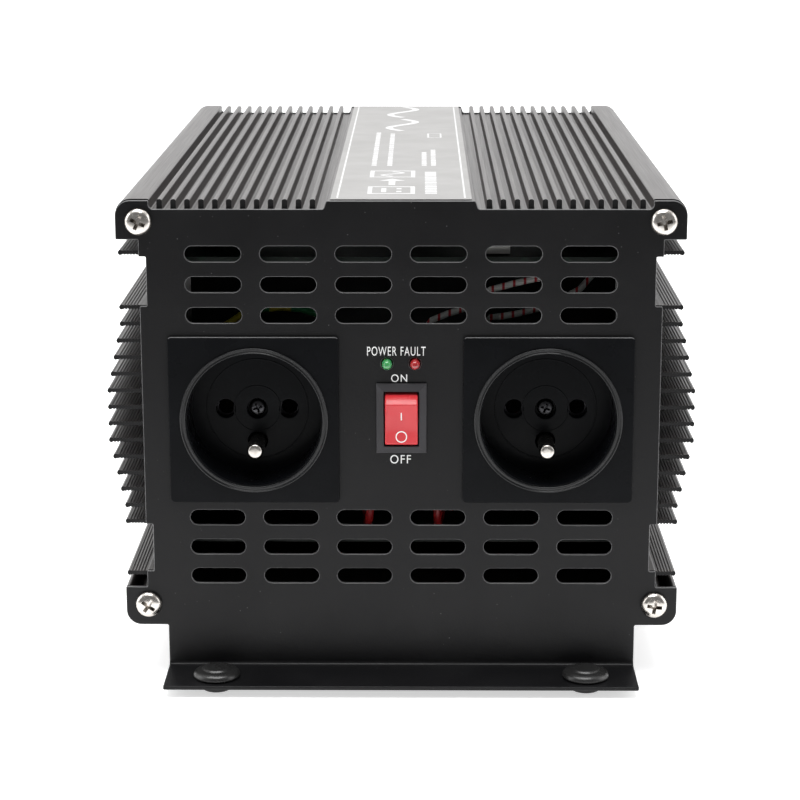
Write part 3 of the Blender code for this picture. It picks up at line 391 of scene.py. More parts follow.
def stadium(x, z, length, height, steps=12):
    radius = height / 2
    shift = length / 2 - radius
    return arc(x + shift, z, radius, -90, 90, steps) + arc(x - shift, z, radius, 90, 270, steps)


def rounded_rectangle(x, z, width, height, radius, steps=6):
    half_w = width / 2 - radius
    half_h = height / 2 - radius
    points = []
    for sx, sz, start in ((1, -1, -90), (1, 1, 0), (-1, 1, 90), (-1, -1, 180)):
        points += arc(x + sx * half_w, z + sz * half_h, radius, start, start + 90, steps)
    return points


def soften(points, steps=3, closed=True):
    """Rounds each corner of an outline whose points are (x, z, distance); no distance leaves it sharp."""
    result = []
    count = len(points)
    for index, point in enumerate(points):
        here = Vector(point[:2])
        reach = point[2] if len(point) > 2 else 0.0
        if reach == 0.0 or (not closed and index in (0, count - 1)):
            result.append((here.x, here.y))
            continue
        before = Vector(points[index - 1][:2]) - here
        after = Vector(points[(index + 1) % count][:2]) - here
        start = here + before.normalized() * min(reach, before.length * 0.48)
        end = here + after.normalized() * min(reach, after.length * 0.48)
        for step in range(steps + 1):
            t = step / steps
            spot = start * (1 - t) ** 2 + here * 2 * t * (1 - t) + end * t**2
            result.append((spot.x, spot.y))
    return result


def sharp(points):
    """Points of an outline whose corners soften() leaves alone."""
    return [(x, z, 0) for x, z in points]


def mirror_x(points):
    return [(-point[0], *point[1:]) for point in reversed(points)]


def tidy(bm, weld=0.000002):
    bmesh.ops.remove_doubles(bm, verts=bm.verts, dist=weld)
    bmesh.ops.dissolve_degenerate(bm, edges=bm.edges, dist=weld / 2)
    bmesh.ops.recalc_face_normals(bm, faces=bm.faces)


def to_mesh(bm, name="mesh"):
    mesh = bpy.data.meshes.new(name)
    bm.to_mesh(mesh)
    bm.free()
    return mesh


def evaluated_mesh(guide):
    bpy.context.scene.collection.objects.link(guide)
    graph = bpy.context.evaluated_depsgraph_get()
    mesh = bpy.data.meshes.new_from_object(guide.evaluated_get(graph))
    data = guide.data
    bpy.data.objects.remove(guide)
    if isinstance(data, bpy.types.Curve):
        bpy.data.curves.remove(data)
    mesh.materials.clear()
    return mesh


def filled(loops, near, far, rim=0.0, steps=2):
    """A plate from near to far along Y, from outlines in X and Z, with rounded rims."""
    curve = bpy.data.curves.new("outline", "CURVE")
    curve.dimensions = "2D"
    curve.fill_mode = "BOTH"
    curve.extrude = (far - near) / 2 - rim
    curve.bevel_depth = rim
    curve.bevel_resolution = steps
    curve.offset = -rim
    for loop in loops:
        spline = curve.splines.new("POLY")
        spline.points.add(len(loop) - 1)
        for point, (x, z) in zip(spline.points, loop):
            point.co = (x, z, 0, 1)
        spline.use_cyclic_u = True
    mesh = evaluated_mesh(bpy.data.objects.new("outline", curve))
    mesh.transform(Matrix.Translation((0, (near + far) / 2, 0)) @ Matrix.Rotation(math.radians(90), 4, "X"))
    bm = bmesh.new()
    bm.from_mesh(mesh)
    tidy(bm)
    bm.to_mesh(mesh)
    bm.free()
    return mesh


def turned(profile, steps=48, closed=False, axis="Y"):
    """A profile of (radius, height) turned about its axis; with axis Y, height points out, to -Y."""
    bm = bmesh.new()
    rings = []
    for step in range(steps):
        angle = math.tau * step / steps
        rings.append([bm.verts.new((r * math.cos(angle), r * math.sin(angle), h)) for r, h in profile])
    last = len(profile) if closed else len(profile) - 1
    for step in range(steps):
        here, there = rings[step], rings[(step + 1) % steps]
        for i in range(last):
            j = (i + 1) % len(profile)
            bm.faces.new((here[i], there[i], there[j], here[j]))
    tidy(bm)
    if axis == "Y":
        bm.transform(Matrix.Rotation(math.radians(90), 4, "X"))
    return to_mesh(bm)


def tube_section(inner, outer, first, second):
    """The rectangle that turned() makes into a plain tube."""
    return [(inner, first), (inner, second), (outer, second), (outer, first)]


def loft(loops, close_start=True, close_end=True):
    """Joins rings of points that all have the same count."""
    bm = bmesh.new()
    rings = [[bm.verts.new(point) for point in loop] for loop in loops]
    for first, second in zip(rings, rings[1:]):
        for i in range(len(first)):
            j = (i + 1) % len(first)
            bm.faces.new((first[i], first[j], second[j], second[i]))
    if close_start:
        bm.faces.new(rings[0])
    if close_end:
        bm.faces.new(rings[-1])
    bmesh.ops.recalc_face_normals(bm, faces=bm.faces)
    return to_mesh(bm)


def block(low, high, rim=0.0003, segments=2):
    """A box with rounded edges."""
    bm = bmesh.new()
    size = Vector(high) - Vector(low)
    centre = (Vector(high) + Vector(low)) / 2
    bmesh.ops.create_cube(bm, size=1.0, matrix=Matrix.Translation(centre) @ Matrix.Diagonal((*size, 1.0)))
    bmesh.ops.bevel(bm, geom=bm.edges, offset=rim, segments=segments, profile=0.5, affect="EDGES")
    return to_mesh(bm)


def merged(meshes):
    bm = bmesh.new()
    for mesh in meshes:
        bm.from_mesh(mesh)
        bpy.data.meshes.remove(mesh)
    return to_mesh(bm)


def moved(mesh, *steps):
    for step in steps:
        mesh.transform(step)
    return mesh


def shift(x, y, z):
    return Matrix.Translation((x, y, z))


def turn(degrees, axis):
    return Matrix.Rotation(math.radians(degrees), 4, axis)


def boolean(mesh, other, operation="DIFFERENCE"):
    first = bpy.data.objects.new("first", mesh)
    second = bpy.data.objects.new("second", other)
    bpy.context.scene.collection.objects.link(second)
    step = first.modifiers.new("step", "BOOLEAN")
    step.operation = operation
    step.object = second
    step.solver = "EXACT"
    result = evaluated_mesh(first)
    bpy.data.objects.remove(second)
    return result


def tube(routes, radius, cyclic=False, sides=3):
    """Round wire along each list of points."""
    curve = bpy.data.curves.new("wire", "CURVE")
    curve.dimensions = "3D"
    curve.bevel_depth = radius
    curve.bevel_resolution = sides
    curve.use_fill_caps = True
    for route in routes:
        spline = curve.splines.new("POLY")
        spline.points.add(len(route) - 1)
        for point, place in zip(spline.points, route):
            point.co = (*place, 1)
        spline.use_cyclic_u = cyclic
    return evaluated_mesh(bpy.data.objects.new("wire", curve))


def smooth_route(points, per_span=8):
    """Points along a Catmull-Rom curve through the route's own points."""
    points = [Vector(point) for point in points]
    ends = [points[0] * 2 - points[1]] + points + [points[-1] * 2 - points[-2]]
    route = []
    for i in range(1, len(ends) - 2):
        before, start, end, after = ends[i - 1 : i + 3]
        for step in range(per_span):
            t = step / per_span
            linear = (end - before) * t
            square = (before * 2 - start * 5 + end * 4 - after) * t**2
            cube = (start * 3 - before - end * 3 + after) * t**3
            route.append((start * 2 + linear + square + cube) / 2)
    route.append(points[-1])
    return route


def add_piece(name, mesh, material, place=None, stands_for=(), body="case", angle=32):
    if place is not None:
        mesh.transform(place)
    mesh.materials.clear()
    mesh.materials.append(material)
    mesh.shade_smooth()
    mesh.set_sharp_from_angle(angle=math.radians(angle))
    piece = bpy.data.objects.new(name, mesh)
    bpy.context.scene.collection.objects.link(piece)
    normals = piece.modifiers.new("normals", "WEIGHTED_NORMAL")
    normals.keep_sharp = True
    normals.weight = 90
    if stands_for:
        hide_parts(*stands_for)
    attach(piece, body)
    return piece


def coat_faces(piece, material, wanted):
    """A second material on the faces for which wanted(face) holds."""
    mesh = piece.data
    mesh.materials.append(material)
    last = len(mesh.materials) - 1
    for face in mesh.polygons:
        if wanted(face):
            face.material_index = last


# Case shells

RIB_COUNT, RIB_FIRST, RIB_PITCH, RIB_HALF, RIB_TIP = 12, 0.0255, 0.00402, 0.0008, 0.0642
ROOF, ROOF_INSIDE = 0.0610, 0.0588
WALL, WALL_INSIDE = 0.0740, 0.0720
FIN_FIRST, FIN_PITCH, LAST_FIN = 0.0025, 0.0050, 0.0486
FIN_REACH = [0.0866, 0.0866, 0.0855, 0.0845, 0.0835, 0.0824, 0.0824]
FIN_HALF, BULB = 0.00065, 0.0008
GROOVE_FIRST, GROOVE_PITCH, GROOVE_DEPTH = 0.0763, 0.0009, 0.00030
GUIDE_LEDGES, LEDGE_THICK, LEDGE_IN = (0.0428, 0.0462), 0.0012, 0.0700
PLATFORM_HALF, PLATFORM_TOP = 0.0215, 0.0635
LIP_OUT, LIP_LOW, STEP_LOW = 0.0760, 0.0526, 0.0476
EAR_IN, CORNER_OUT, CORNER_TOP, CORNER_RADIUS = 0.0727, 0.0825, 0.0643, 0.0045
CORNER_MIDDLE = CORNER_OUT - CORNER_RADIUS
PORT_X, PORT_Z, PORT_RADIUS, PORT_HOLE = 0.0757, 0.0579, 0.0036, 0.0019
SEAM = 0.00015


def fin(height, root, reach):
    """A side fin with fine grooves along it and a round bulb at its tip, from its lower root to its upper."""
    grooves = []
    start = GROOVE_FIRST
    while start + GROOVE_PITCH < reach - 0.0013:
        grooves += [(start, FIN_HALF), (start + 0.00038, FIN_HALF)]
        grooves += [(start + 0.00064, FIN_HALF - GROOVE_DEPTH)]
        start += GROOVE_PITCH
    grooves.append((start, FIN_HALF))
    side = [(root, FIN_HALF, 0.0004)] + sharp(grooves) + [(reach - 0.0011, FIN_HALF, 0)]
    lower = [(x, height - half, soft) for x, half, soft in side]
    upper = [(x, height + half, soft) for x, half, soft in reversed(side)]
    return lower + sharp(arc(reach - 0.0002 - BULB, height, BULB, -90, 90, 8)) + upper


def rib(x):
    right = [(x + RIB_HALF, ROOF, 0.0006), (x + RIB_HALF, RIB_TIP, 0.0007)]
    return right + [(x - RIB_HALF, RIB_TIP, 0.0007), (x - RIB_HALF, ROOF, 0.0006)]


def shell_half():
    """Outside and inside of the right half of the upper shell, from the seam."""
    points = [(WALL, SEAM, 0.0002)]
    for index, reach in enumerate(FIN_REACH):
        points += fin(FIN_FIRST + FIN_PITCH * index, WALL, reach)
    points += [(WALL, STEP_LOW, 0.0003), (LIP_OUT, STEP_LOW, 0.0004)]
    points += fin(LAST_FIN, LIP_OUT, 0.0823)
    points += [(LIP_OUT, 0.0510, 0.0003), (0.0763, 0.0520, 0.0003)]
    points += sharp(arc(PORT_X, PORT_Z, PORT_RADIUS, -80, 40, 10))
    points += [(0.0794, 0.0616, 0.0003), (0.0812, 0.0600, 0.0003)]
    points += [(0.0812, LIP_LOW, 0.0005), (CORNER_OUT, LIP_LOW, 0.0005)]
    points += sharp(arc(CORNER_MIDDLE, CORNER_TOP - CORNER_RADIUS, CORNER_RADIUS, 0, 90, 14))
    points += [(EAR_IN, CORNER_TOP, 0.0006), (EAR_IN, ROOF, 0.0006)]
    for index in reversed(range(RIB_COUNT)):
        points += rib(RIB_FIRST + RIB_PITCH * index)
    points += [(PLATFORM_HALF, ROOF, 0.0006), (PLATFORM_HALF, PLATFORM_TOP, 0.0003)]
    inside = [(WALL_INSIDE, SEAM, 0)]
    for low in GUIDE_LEDGES:
        high = low + LEDGE_THICK
        inside += sharp([(WALL_INSIDE, low), (LEDGE_IN, low), (LEDGE_IN, high), (WALL_INSIDE, high)])
    inside += [(WALL_INSIDE, ROOF_INSIDE, 0.001)]
    return points, inside


def make_shell(name, upside, node):
    outside, inside = shell_half()
    left_inside = [(-x, z, soft) for x, z, soft in inside]
    loops = [soften(outside + mirror_x(outside) + left_inside + inside[::-1])]
    for side in (-1, 1):
        loops.append(circle(side * PORT_X, PORT_Z, PORT_HOLE, 24))
    loops = [[(x, z * upside) for x, z in loop] for loop in loops]
    mesh = filled(loops, -CASE_HALF, CASE_HALF)
    shell = add_piece(name, mesh, ANODISED, CENTRE, [node], angle=40)
    # The end faces are painted much darker than the anodised body: painted shade.
    coat_faces(shell, END_SHADE, lambda face: abs(face.normal.y) > 0.9)


make_shell("shell_upper", 1, "top_shell")
make_shell("shell_lower", -1, "bottom_shell")


# End panels

PANEL_TOP, PANEL_NOTCH, EAR_LOW = 0.0640, 0.0615, 0.0645
WAIST, WAIST_LOW = 0.0739, 0.0330
BEND_RADIUS = 0.0010
FLANGE_TOP, FLANGE_HALF, FLANGE_REACH = -0.0770, 0.0700, 0.0190
BEND_START = FLANGE_TOP + BEND_RADIUS
NEUTRAL = BEND_RADIUS + SHEET / 2
BEND_RUN = math.pi / 2 * NEUTRAL
BEND_STEPS = 8
FOOT_X, FOOT_OUT, FOOT_HOLE = 0.0548, 0.0104, 0.0032
SLOT_ROWS = (0.0484, 0.0394, 0.0303, -0.0309, -0.0400, -0.0490)
SLOT_PITCH, SLOT_LENGTH, SLOT_HEIGHT = 0.0218, 0.0163, 0.0046
OUTLET_X, OUTLET_Z = 0.0432, -0.0009
LAMP_X, LAMP_Z = 0.0041, 0.0160
FAN_X, FAN_Z = 0.0330, 0.0200
TERMINAL_X, TERMINAL_Z = 0.0300, -0.0350


def panel_outline():
    """A panel before its flange is bent: ears, notches under the ribs and waists beside the open fins."""
    end = BEND_START - BEND_RUN - (FLANGE_REACH - BEND_RADIUS)
    half = [(PLATFORM_HALF, PANEL_TOP - 0.0001, 0.0004), (PLATFORM_HALF + 0.0008, PANEL_NOTCH, 0.0005)]
    half += [(EAR_IN - 0.0008, PANEL_NOTCH, 0.0004), (EAR_IN, PANEL_NOTCH + 0.0008, 0.0004)]
    half += [(EAR_IN, PANEL_TOP, 0.0004)]
    half += sharp(arc(CORNER_MIDDLE, PANEL_TOP - CORNER_RADIUS, CORNER_RADIUS, 90, 0, 14))
    side = [(CORNER_OUT, LIP_LOW, 0.0004), (LIP_OUT, LIP_LOW, 0.0004), (LIP_OUT, STEP_LOW, 0.0003)]
    side += [(WAIST, STEP_LOW, 0.0004), (WAIST, WAIST_LOW, 0.0004), (LIP_OUT, WAIST_LOW, 0.0005)]
    half += side + [(x, -z, soft) for x, z, soft in reversed(side)]
    half += sharp(arc(CORNER_MIDDLE, CORNER_RADIUS - EAR_LOW, CORNER_RADIUS, 0, -90, 14))
    half += [(FLANGE_HALF, -EAR_LOW, 0.0005), (FLANGE_HALF, end, 0.0006)]
    return soften(half + mirror_x(half))


def bent_panel(cutouts):
    loops = [panel_outline()] + cutouts
    foot_level = BEND_START - BEND_RUN - (FOOT_OUT - BEND_RADIUS)
    for side in (-1, 1):
        loops.append(circle(side * FOOT_X, foot_level, FOOT_HOLE, 32))
        for z in (-PORT_Z, PORT_Z):
            loops.append(circle(side * PORT_X, z, PORT_HOLE, 24))
    mesh = filled(loops, 0, SHEET, 0.00032, 3)
    bm = bmesh.new()
    bm.from_mesh(mesh)
    for step in range(BEND_STEPS + 1):
        everything = bm.verts[:] + bm.edges[:] + bm.faces[:]
        level = (0, 0, BEND_START - BEND_RUN * step / BEND_STEPS)
        bmesh.ops.bisect_plane(bm, geom=everything, dist=0.0000005, plane_co=level, plane_no=(0, 0, 1))
    for vertex in bm.verts:
        run = BEND_START - vertex.co.z
        if run > 0:
            radius = BEND_RADIUS + vertex.co.y
            angle = min(run, BEND_RUN) / NEUTRAL
            vertex.co.y = radius * math.cos(angle) - BEND_RADIUS - max(run - BEND_RUN, 0)
            vertex.co.z = BEND_START - radius * math.sin(angle)
    bm.to_mesh(mesh)
    bm.free()
    return mesh


def front_cutouts():
    holes = []
    for column in range(6):
        for row in SLOT_ROWS:
            holes.append(stadium((column - 2.5) * SLOT_PITCH, row, SLOT_LENGTH, SLOT_HEIGHT))
    for side in (-1, 1):
        holes.append(rounded_rectangle(side * OUTLET_X, OUTLET_Z, 0.0456, 0.0456, 0.001))
        holes.append(circle(side * LAMP_X, LAMP_Z, 0.0018, 24))
    holes.append(rounded_rectangle(0, 0, 0.0134, 0.0194, 0.0004))
    return holes


def rear_cutouts():
    holes = []
    for side in (-1, 1):
        holes.append(circle(side * FAN_X, FAN_Z, 0.0280, 72))
        holes.append(circle(side * TERMINAL_X, TERMINAL_Z, 0.0068, 32))
    return holes


def is_highlit_rim(face):
    """The rims of a panel's holes and outline, above its bend, which get a lighter colour as a painted
    highlight.
    """
    leaning = abs(face.normal.z) + abs(face.normal.x) > 0.25 and abs(face.normal.y) < 0.93
    return leaning and face.center.z > MID + BEND_START + 0.0002


def make_panel(name, cutouts, place, node):
    panel = add_piece(name, bent_panel(cutouts), POWDER, place, [node], angle=50)
    # The rims of the holes and outline are painted lighter: a painted highlight.
    coat_faces(panel, RIM_HIGHLIGHT, is_highlit_rim)


make_panel("panel_front", front_cutouts(), FRONT, "front_panel")
make_panel("panel_rear", rear_cutouts(), REAR, "rear_panel")


# Screws


def cross_cutter(wing, width, top, floor):
    """A tapered cross, its wings narrowing with depth."""
    loops = []
    for height, share in ((top + 0.0006, 1.12), (top, 1.0), (floor, 0.42)):
        long, half = wing * share, width / 2 * (0.6 + 0.4 * share)
        shape = [(long, half), (half, half), (half, long), (-half, long), (-half, half), (-long, half)]
        shape += [(-x, -z) for x, z in shape]
        loops.append([(x, -height, z) for x, z in shape])
    return loft(loops)


def screw_mesh(radius, height, shank, length, seat=0.0003, spin=0.0):
    """A pan head screw with a cross recess; its head stands out from the seat."""
    profile = [
        (0, seat + height, 0), (radius * 0.42, seat + height * 0.985, radius * 0.2),
        (radius * 0.80, seat + height * 0.78, radius * 0.2),
        (radius * 0.97, seat + height * 0.38, radius * 0.12), (radius, seat + 0.00025, 0.0001),
        (radius * 0.98, seat, 0.0001), (shank, seat, 0),
    ]
    pitch = 0.0007
    turns = int((length - 0.001) / pitch)
    for number in range(turns):
        level = -0.0006 - number * pitch
        profile += [(shank, level, 0), (shank - 0.00025, level - pitch / 2, 0)]
    profile += [(shank, -0.0006 - turns * pitch, 0), (0, -length - 0.0003, 0)]
    head = turned(soften(profile, closed=False), 40)
    cutter = cross_cutter(radius * 0.58, radius * 0.27, seat + height, seat - height * 0.30)
    return moved(boolean(head, cutter), turn(spin, "Y"))


def make_panel_screws():
    spins = iter([24, -12, 35, 8, 15, -30, 41, 3])
    for where, place in (("front", FRONT), ("rear", REAR)):
        for row, z in (("upper", PORT_Z), ("lower", -PORT_Z)):
            for column, x in (("left", -PORT_X), ("right", PORT_X)):
                mesh = screw_mesh(0.0040, 0.0023, 0.0015, 0.0110, spin=next(spins))
                name, node = f"bolt_{where}_{row}_{column}", f"{where}_screw_{row}_{column}"
                add_piece(name, mesh, NICKEL, place @ shift(x, 0, z), [node])


make_panel_screws()


# Feet


def make_feet():
    profile = [
        (0, 0.0032, 0), (0.0038, 0.0031, 0.0006), (0.0044, 0.0025, 0.0004),
        (0.0056, 0.0023, 0.0008), (0.0067, 0.0016, 0.0006), (0.0070, 0.0006, 0.0003),
        (0.0068, 0.0003, 0.0001), (0.0030, 0.0003, 0), (0.0030, -SHEET - 0.0003, 0),
        (0.0046, -SHEET - 0.0003, 0.0002), (0.0047, -0.0031, 0.0004), (0.0042, -0.0037, 0.0003),
        (0, -0.0037, 0),
    ]
    for where, place in (("front", FRONT), ("rear", REAR)):
        for column, x in (("left", -FOOT_X), ("right", FOOT_X)):
            mesh = turned(soften(profile, closed=False), 56, axis="Z")
            spot = place @ shift(x, -FOOT_OUT, FLANGE_TOP)
            add_piece(f"foot_{where}_{column}", mesh, RUBBER, spot, [f"{where}_foot_{column}"])


make_feet()


# Outlets

RECESS, RECESS_FLOOR = 0.0198, 0.0137
CONTACT, EARTH_DROP = 0.0095, 0.0100


def outlet_mesh():
    """Face plate, recess, floor with its holes, and the block behind."""
    face = [rounded_rectangle(0, 0, 0.0500, 0.0500, 0.0012), circle(0, 0, 0.0200, 96)]
    plate = filled(face, -0.0013, -0.0003, 0.0003, 3)
    wall = tube_section(RECESS, RECESS + 0.0012, 0.0010, -RECESS_FLOOR)
    cup = turned(wall, 96, closed=True)
    holes = [circle(side * CONTACT, 0, 0.00275, 32) for side in (-1, 1)]
    holes += [circle(0, -EARTH_DROP, 0.0028, 32), circle(0, 0, 0.0030, 32)]
    disc = [circle(0, 0, RECESS + 0.0004, 96)]
    floor = filled(disc + holes, RECESS_FLOOR, RECESS_FLOOR + 0.0024, 0.0004, 3)
    seat = turned(tube_section(0.0019, 0.0040, -0.0200, -RECESS_FLOOR - 0.0021), 32, closed=True)
    mark = []
    for radius in (0.0068, 0.0150):
        low, high = -RECESS_FLOOR - 0.0001, -RECESS_FLOOR + 0.00018
        outer = radius + 0.0004
        raised = [(radius, low, 0), (radius, high, 0.0001), (outer, high, 0.0001), (outer, low, 0)]
        mark.append(turned(soften(raised), 72, closed=True))
    back_holes = [circle(side * CONTACT, 0, 0.0037, 32) for side in (-1, 1)]
    back_holes += [circle(0, -EARTH_DROP, 0.0028, 32), circle(0, 0, 0.0019, 24)]
    square = rounded_rectangle(0, 0, 0.0446, 0.0446, 0.0015)
    walls = filled([square, circle(0, 0, 0.0208, 64)], -0.0006, 0.0161)
    back = filled([square] + back_holes, 0.0161, 0.0320, 0.0003, 2)
    return merged([plate, cup, floor, seat, walls, back] + mark)


def ring_mesh():
    """The raised ring round the recess, with a crisp crest at each side of its flat."""
    profile = [
        (0.0218, 0.0009, 0), (0.0218, 0.0019, 0.0002), (0.0214, 0.0020, 0.0002),
        (0.0212, 0.0016, 0.0001), (0.0206, 0.0016, 0.0001), (0.0204, 0.0018, 0.0001),
        (0.0202, 0.0017, 0.0001), (0.0200, 0.0012, 0.0001), (0.0199, 0.0004, 0),
        (0.0218, 0.0004, 0),
    ]
    return turned(soften(profile), 128, closed=True)


def pin_mesh():
    profile = [
        (0, -0.00035, 0), (0.0013, -0.0004, 0.0003), (0.0021, -0.0007, 0.0006),
        (0.00245, -0.0020, 0.0008), (0.00245, -0.0360, 0), (0, -0.0360, 0),
    ]
    return turned(soften(profile, closed=False), 40)


def make_outlets():
    rim_level = MID + OUTLET_Z + 0.0246
    for where, side in (("left", -1), ("right", 1)):
        spot = FRONT @ shift(side * OUTLET_X, 0, OUTLET_Z)
        node = where + "_outlet_"
        outlet = add_piece(f"outlet_{where}", outlet_mesh(), PLATE, spot, [node + "body"])
        # The plate's upward-facing top edge is painted lighter: a painted highlight.
        coat_faces(outlet, RIM_HIGHLIGHT, lambda face: face.center.z > rim_level and face.normal.z > 0.3)
        add_piece(f"outlet_ring_{where}", ring_mesh(), RING, spot)
        pin_spot = spot @ shift(0, 0, -EARTH_DROP)
        add_piece(f"earth_contact_{where}", pin_mesh(), NICKEL, pin_spot, [node + "earth_pin"])
        screw = screw_mesh(0.0026, 0.0015, 0.0015, 0.0130, spin=20 * side)
        screw_spot = spot @ shift(0, RECESS_FLOOR + 0.0023, 0)
        add_piece(f"outlet_bolt_{where}", screw, DARK_STEEL, screw_spot, [node + "screw"])


make_outlets()


# Switch and lamps

ROCKER_TILT = 12.5
ROCKER_PIVOT = 0.0010
ROCKER_FACE, ROCKER_SLOPE, HOLLOW = 0.0032, 0.25, 0.00388
INLAY = 0.00003


def frame_loop(half_w, half_h, out):
    corners = ((half_w, -half_h), (half_w, half_h), (-half_w, half_h), (-half_w, -half_h))
    return [(x, -out, z) for x, z in corners]


def bezel_mesh():
    """A mitred frame round the rocker, with the housing behind it as one closed wall."""
    steps = [
        (0.00640, 0.00940, 0.0003), (0.00740, 0.01050, 0.0003), (0.00740, 0.01050, 0.0007),
        (0.00730, 0.01040, 0.0010), (0.00550, 0.00860, 0.0019), (0.00530, 0.00840, 0.0020),
        (0.00515, 0.00825, 0.0019), (0.00510, 0.00820, -0.0105), (0.00010, 0.00010, -0.0105),
    ]
    front = [frame_loop(*step) for step in steps]
    behind = [frame_loop(0.00640, 0.00940, -0.0140), frame_loop(0.00010, 0.00010, -0.0140)]
    return merged([loft(front, False, True), loft([front[0]] + behind, False, True)])


def rocker_mesh():
    (first_x, first_z), *rest = arc(0, 0, 0.0080, 126.87, 64.06, 14)
    top = [(first_x, first_z, 0.0004)] + sharp(rest)
    outline = [(-ROCKER_FACE, 0, 0.0040)] + top + [(x, -z, soft) for x, z, soft in reversed(top)]
    mesh = filled([soften(outline, 12)], -0.0048, 0.0048, 0.00045, 3)
    return moved(mesh, turn(90, "Z"))


def on_rocker(points, height):
    """Points (x, z) of the rocker's hollow face, lifted to that height over it."""
    lifted = []
    for x, z in points:
        away = abs(z) if abs(z) > HOLLOW else (HOLLOW + z * z / HOLLOW) / 2
        lifted.append((x, -ROCKER_FACE - height - ROCKER_SLOPE * away, z))
    return lifted


def mark_mesh(outer, inner=None):
    """A thin inlay on the rocker's face: a filled outline, or a band between two."""
    if inner is None:
        return loft([on_rocker(outer, -INLAY), on_rocker(outer, INLAY)])
    loops = [on_rocker(inner, -INLAY), on_rocker(inner, INLAY)]
    loops += [on_rocker(outer, INLAY), on_rocker(outer, -INLAY), on_rocker(inner, -INLAY)]
    return loft(loops, False, False)


def make_switch():
    frame_spot = FRONT @ shift(0.0001, 0, -0.0003)
    add_piece("switch_frame", bezel_mesh(), BEZEL, frame_spot, ["switch_housing"], angle=20)
    spot = FRONT @ shift(0.0001, ROCKER_PIVOT, -0.0005) @ turn(ROCKER_TILT, "X")
    add_piece("rocker", rocker_mesh(), ROCKER_RED, spot, ["switch_rocker"], body="rocker")
    bar = [(-0.00016, 0.0010), (0.00016, 0.0010), (0.00016, 0.0036), (-0.00016, 0.0036)]
    add_piece("rocker_mark_on", mark_mesh(bar), PRINT, spot, body="rocker")
    ring = mark_mesh(circle(0, -0.0042, 0.0017, 40), circle(0, -0.0042, 0.00138, 40))
    add_piece("rocker_mark_off", ring, PRINT, spot, body="rocker")


def make_lamps():
    profile = [(0, 0.0030, 0), (0.0007, 0.0029, 0.0004), (0.0013, 0.0023, 0.0005), (0.0015, 0.0012, 0.0003)]
    profile += [(0.0015, -0.0050, 0), (0, -0.0050, 0)]
    lamps = (("green", -LAMP_X, LAMP_GREEN, "power_lamp"), ("red", LAMP_X, LAMP_RED, "fault_lamp"))
    for name, x, finish, node in lamps:
        mesh = turned(soften(profile, closed=False), 32)
        add_piece(f"light_{name}", mesh, finish, FRONT @ shift(x, 0, LAMP_Z), [node])


make_switch()
make_lamps()


# Printing


def text_mesh(words, left, right, low, high):
    """Plain capitals fitted between the given edges, in X and Z, facing -Y."""
    data = bpy.data.curves.new("words", "FONT")
    data.body = words
    data.size = 1.0
    data.extrude = 0.01
    data.space_character = 1.16
    mesh = evaluated_mesh(bpy.data.objects.new("words", data))
    corners = [vertex.co for vertex in mesh.vertices]
    x_low, x_high = min(c.x for c in corners), max(c.x for c in corners)
    y_low, y_high = min(c.y for c in corners), max(c.y for c in corners)
    scale_x = (right - left) / (x_high - x_low)
    scale_y = (high - low) / (y_high - y_low)
    scale = Matrix.Diagonal((scale_x, scale_y, 0.003, 1))
    return moved(mesh, shift(left, 0, low) @ turn(90, "X") @ scale @ shift(-x_low, -y_low, 0))


def make_words():
    lift = FRONT @ shift(0, -0.00004, 0)
    words = (
        ("print_lamps", "POWER FAULT", -0.0099, 0.0072, 0.0184, 0.0211),
        ("print_on", "ON", -0.0029, 0.0018, 0.0105, 0.0128),
        ("print_off", "OFF", -0.0032, 0.0029, -0.0142, -0.0116),
    )
    for name, text, left, right, low, high in words:
        add_piece(name, text_mesh(text, left, right, low, high), PRINT, lift)


LABEL_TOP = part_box("top_label")[1].z


def band(points, width):
    """A flat stroke of the given width along a line of points."""
    left, right = [], []
    for index, point in enumerate(points):
        before = Vector(points[max(index - 1, 0)])
        after = Vector(points[min(index + 1, len(points) - 1)])
        along = (after - before).normalized()
        side = Vector((-along.y, along.x)) * width / 2
        left.append(tuple(Vector(point) + side))
        right.append(tuple(Vector(point) - side))
    return left + right[::-1]


def on_label(outlines):
    """Thin ink from outlines (along, across) on the label; along runs from the front edge to the rear."""
    thin = 0.00003
    meshes = []
    for outline in outlines:
        loops = []
        for height in (-thin / 2, thin):
            loops.append([(across, along - CASE_HALF, LABEL_TOP + height) for along, across in outline])
        meshes.append(loft(loops))
    return merged(meshes)


def bar(start, end, low, high):
    return [(start, low), (end, low), (end, high), (start, high)]


def fine_print(start, end, low, high, seed):
    """A line of short bars of uneven length that stands for small print."""
    chance = random.Random(seed)
    marks = []
    along = start
    while along < end - 0.001:
        length = min(chance.uniform(0.0012, 0.0042), end - along)
        marks.append(bar(along, along + length, low, high))
        along += length + 0.0008
    return marks


def sine(start, end, middle, height, width, cycles=1):
    points = []
    for step in range(41):
        along = start + (end - start) * step / 40
        points.append((along, middle - height * math.sin(math.tau * cycles * step / 40)))
    return band(points, width)


def square_outline(start, end, low, high, width):
    return [
        bar(start, end, low, low + width),
        bar(start, end, high - width, high),
        bar(start, start + width, low + width, high - width),
        bar(end - width, end, low + width, high - width),
    ]


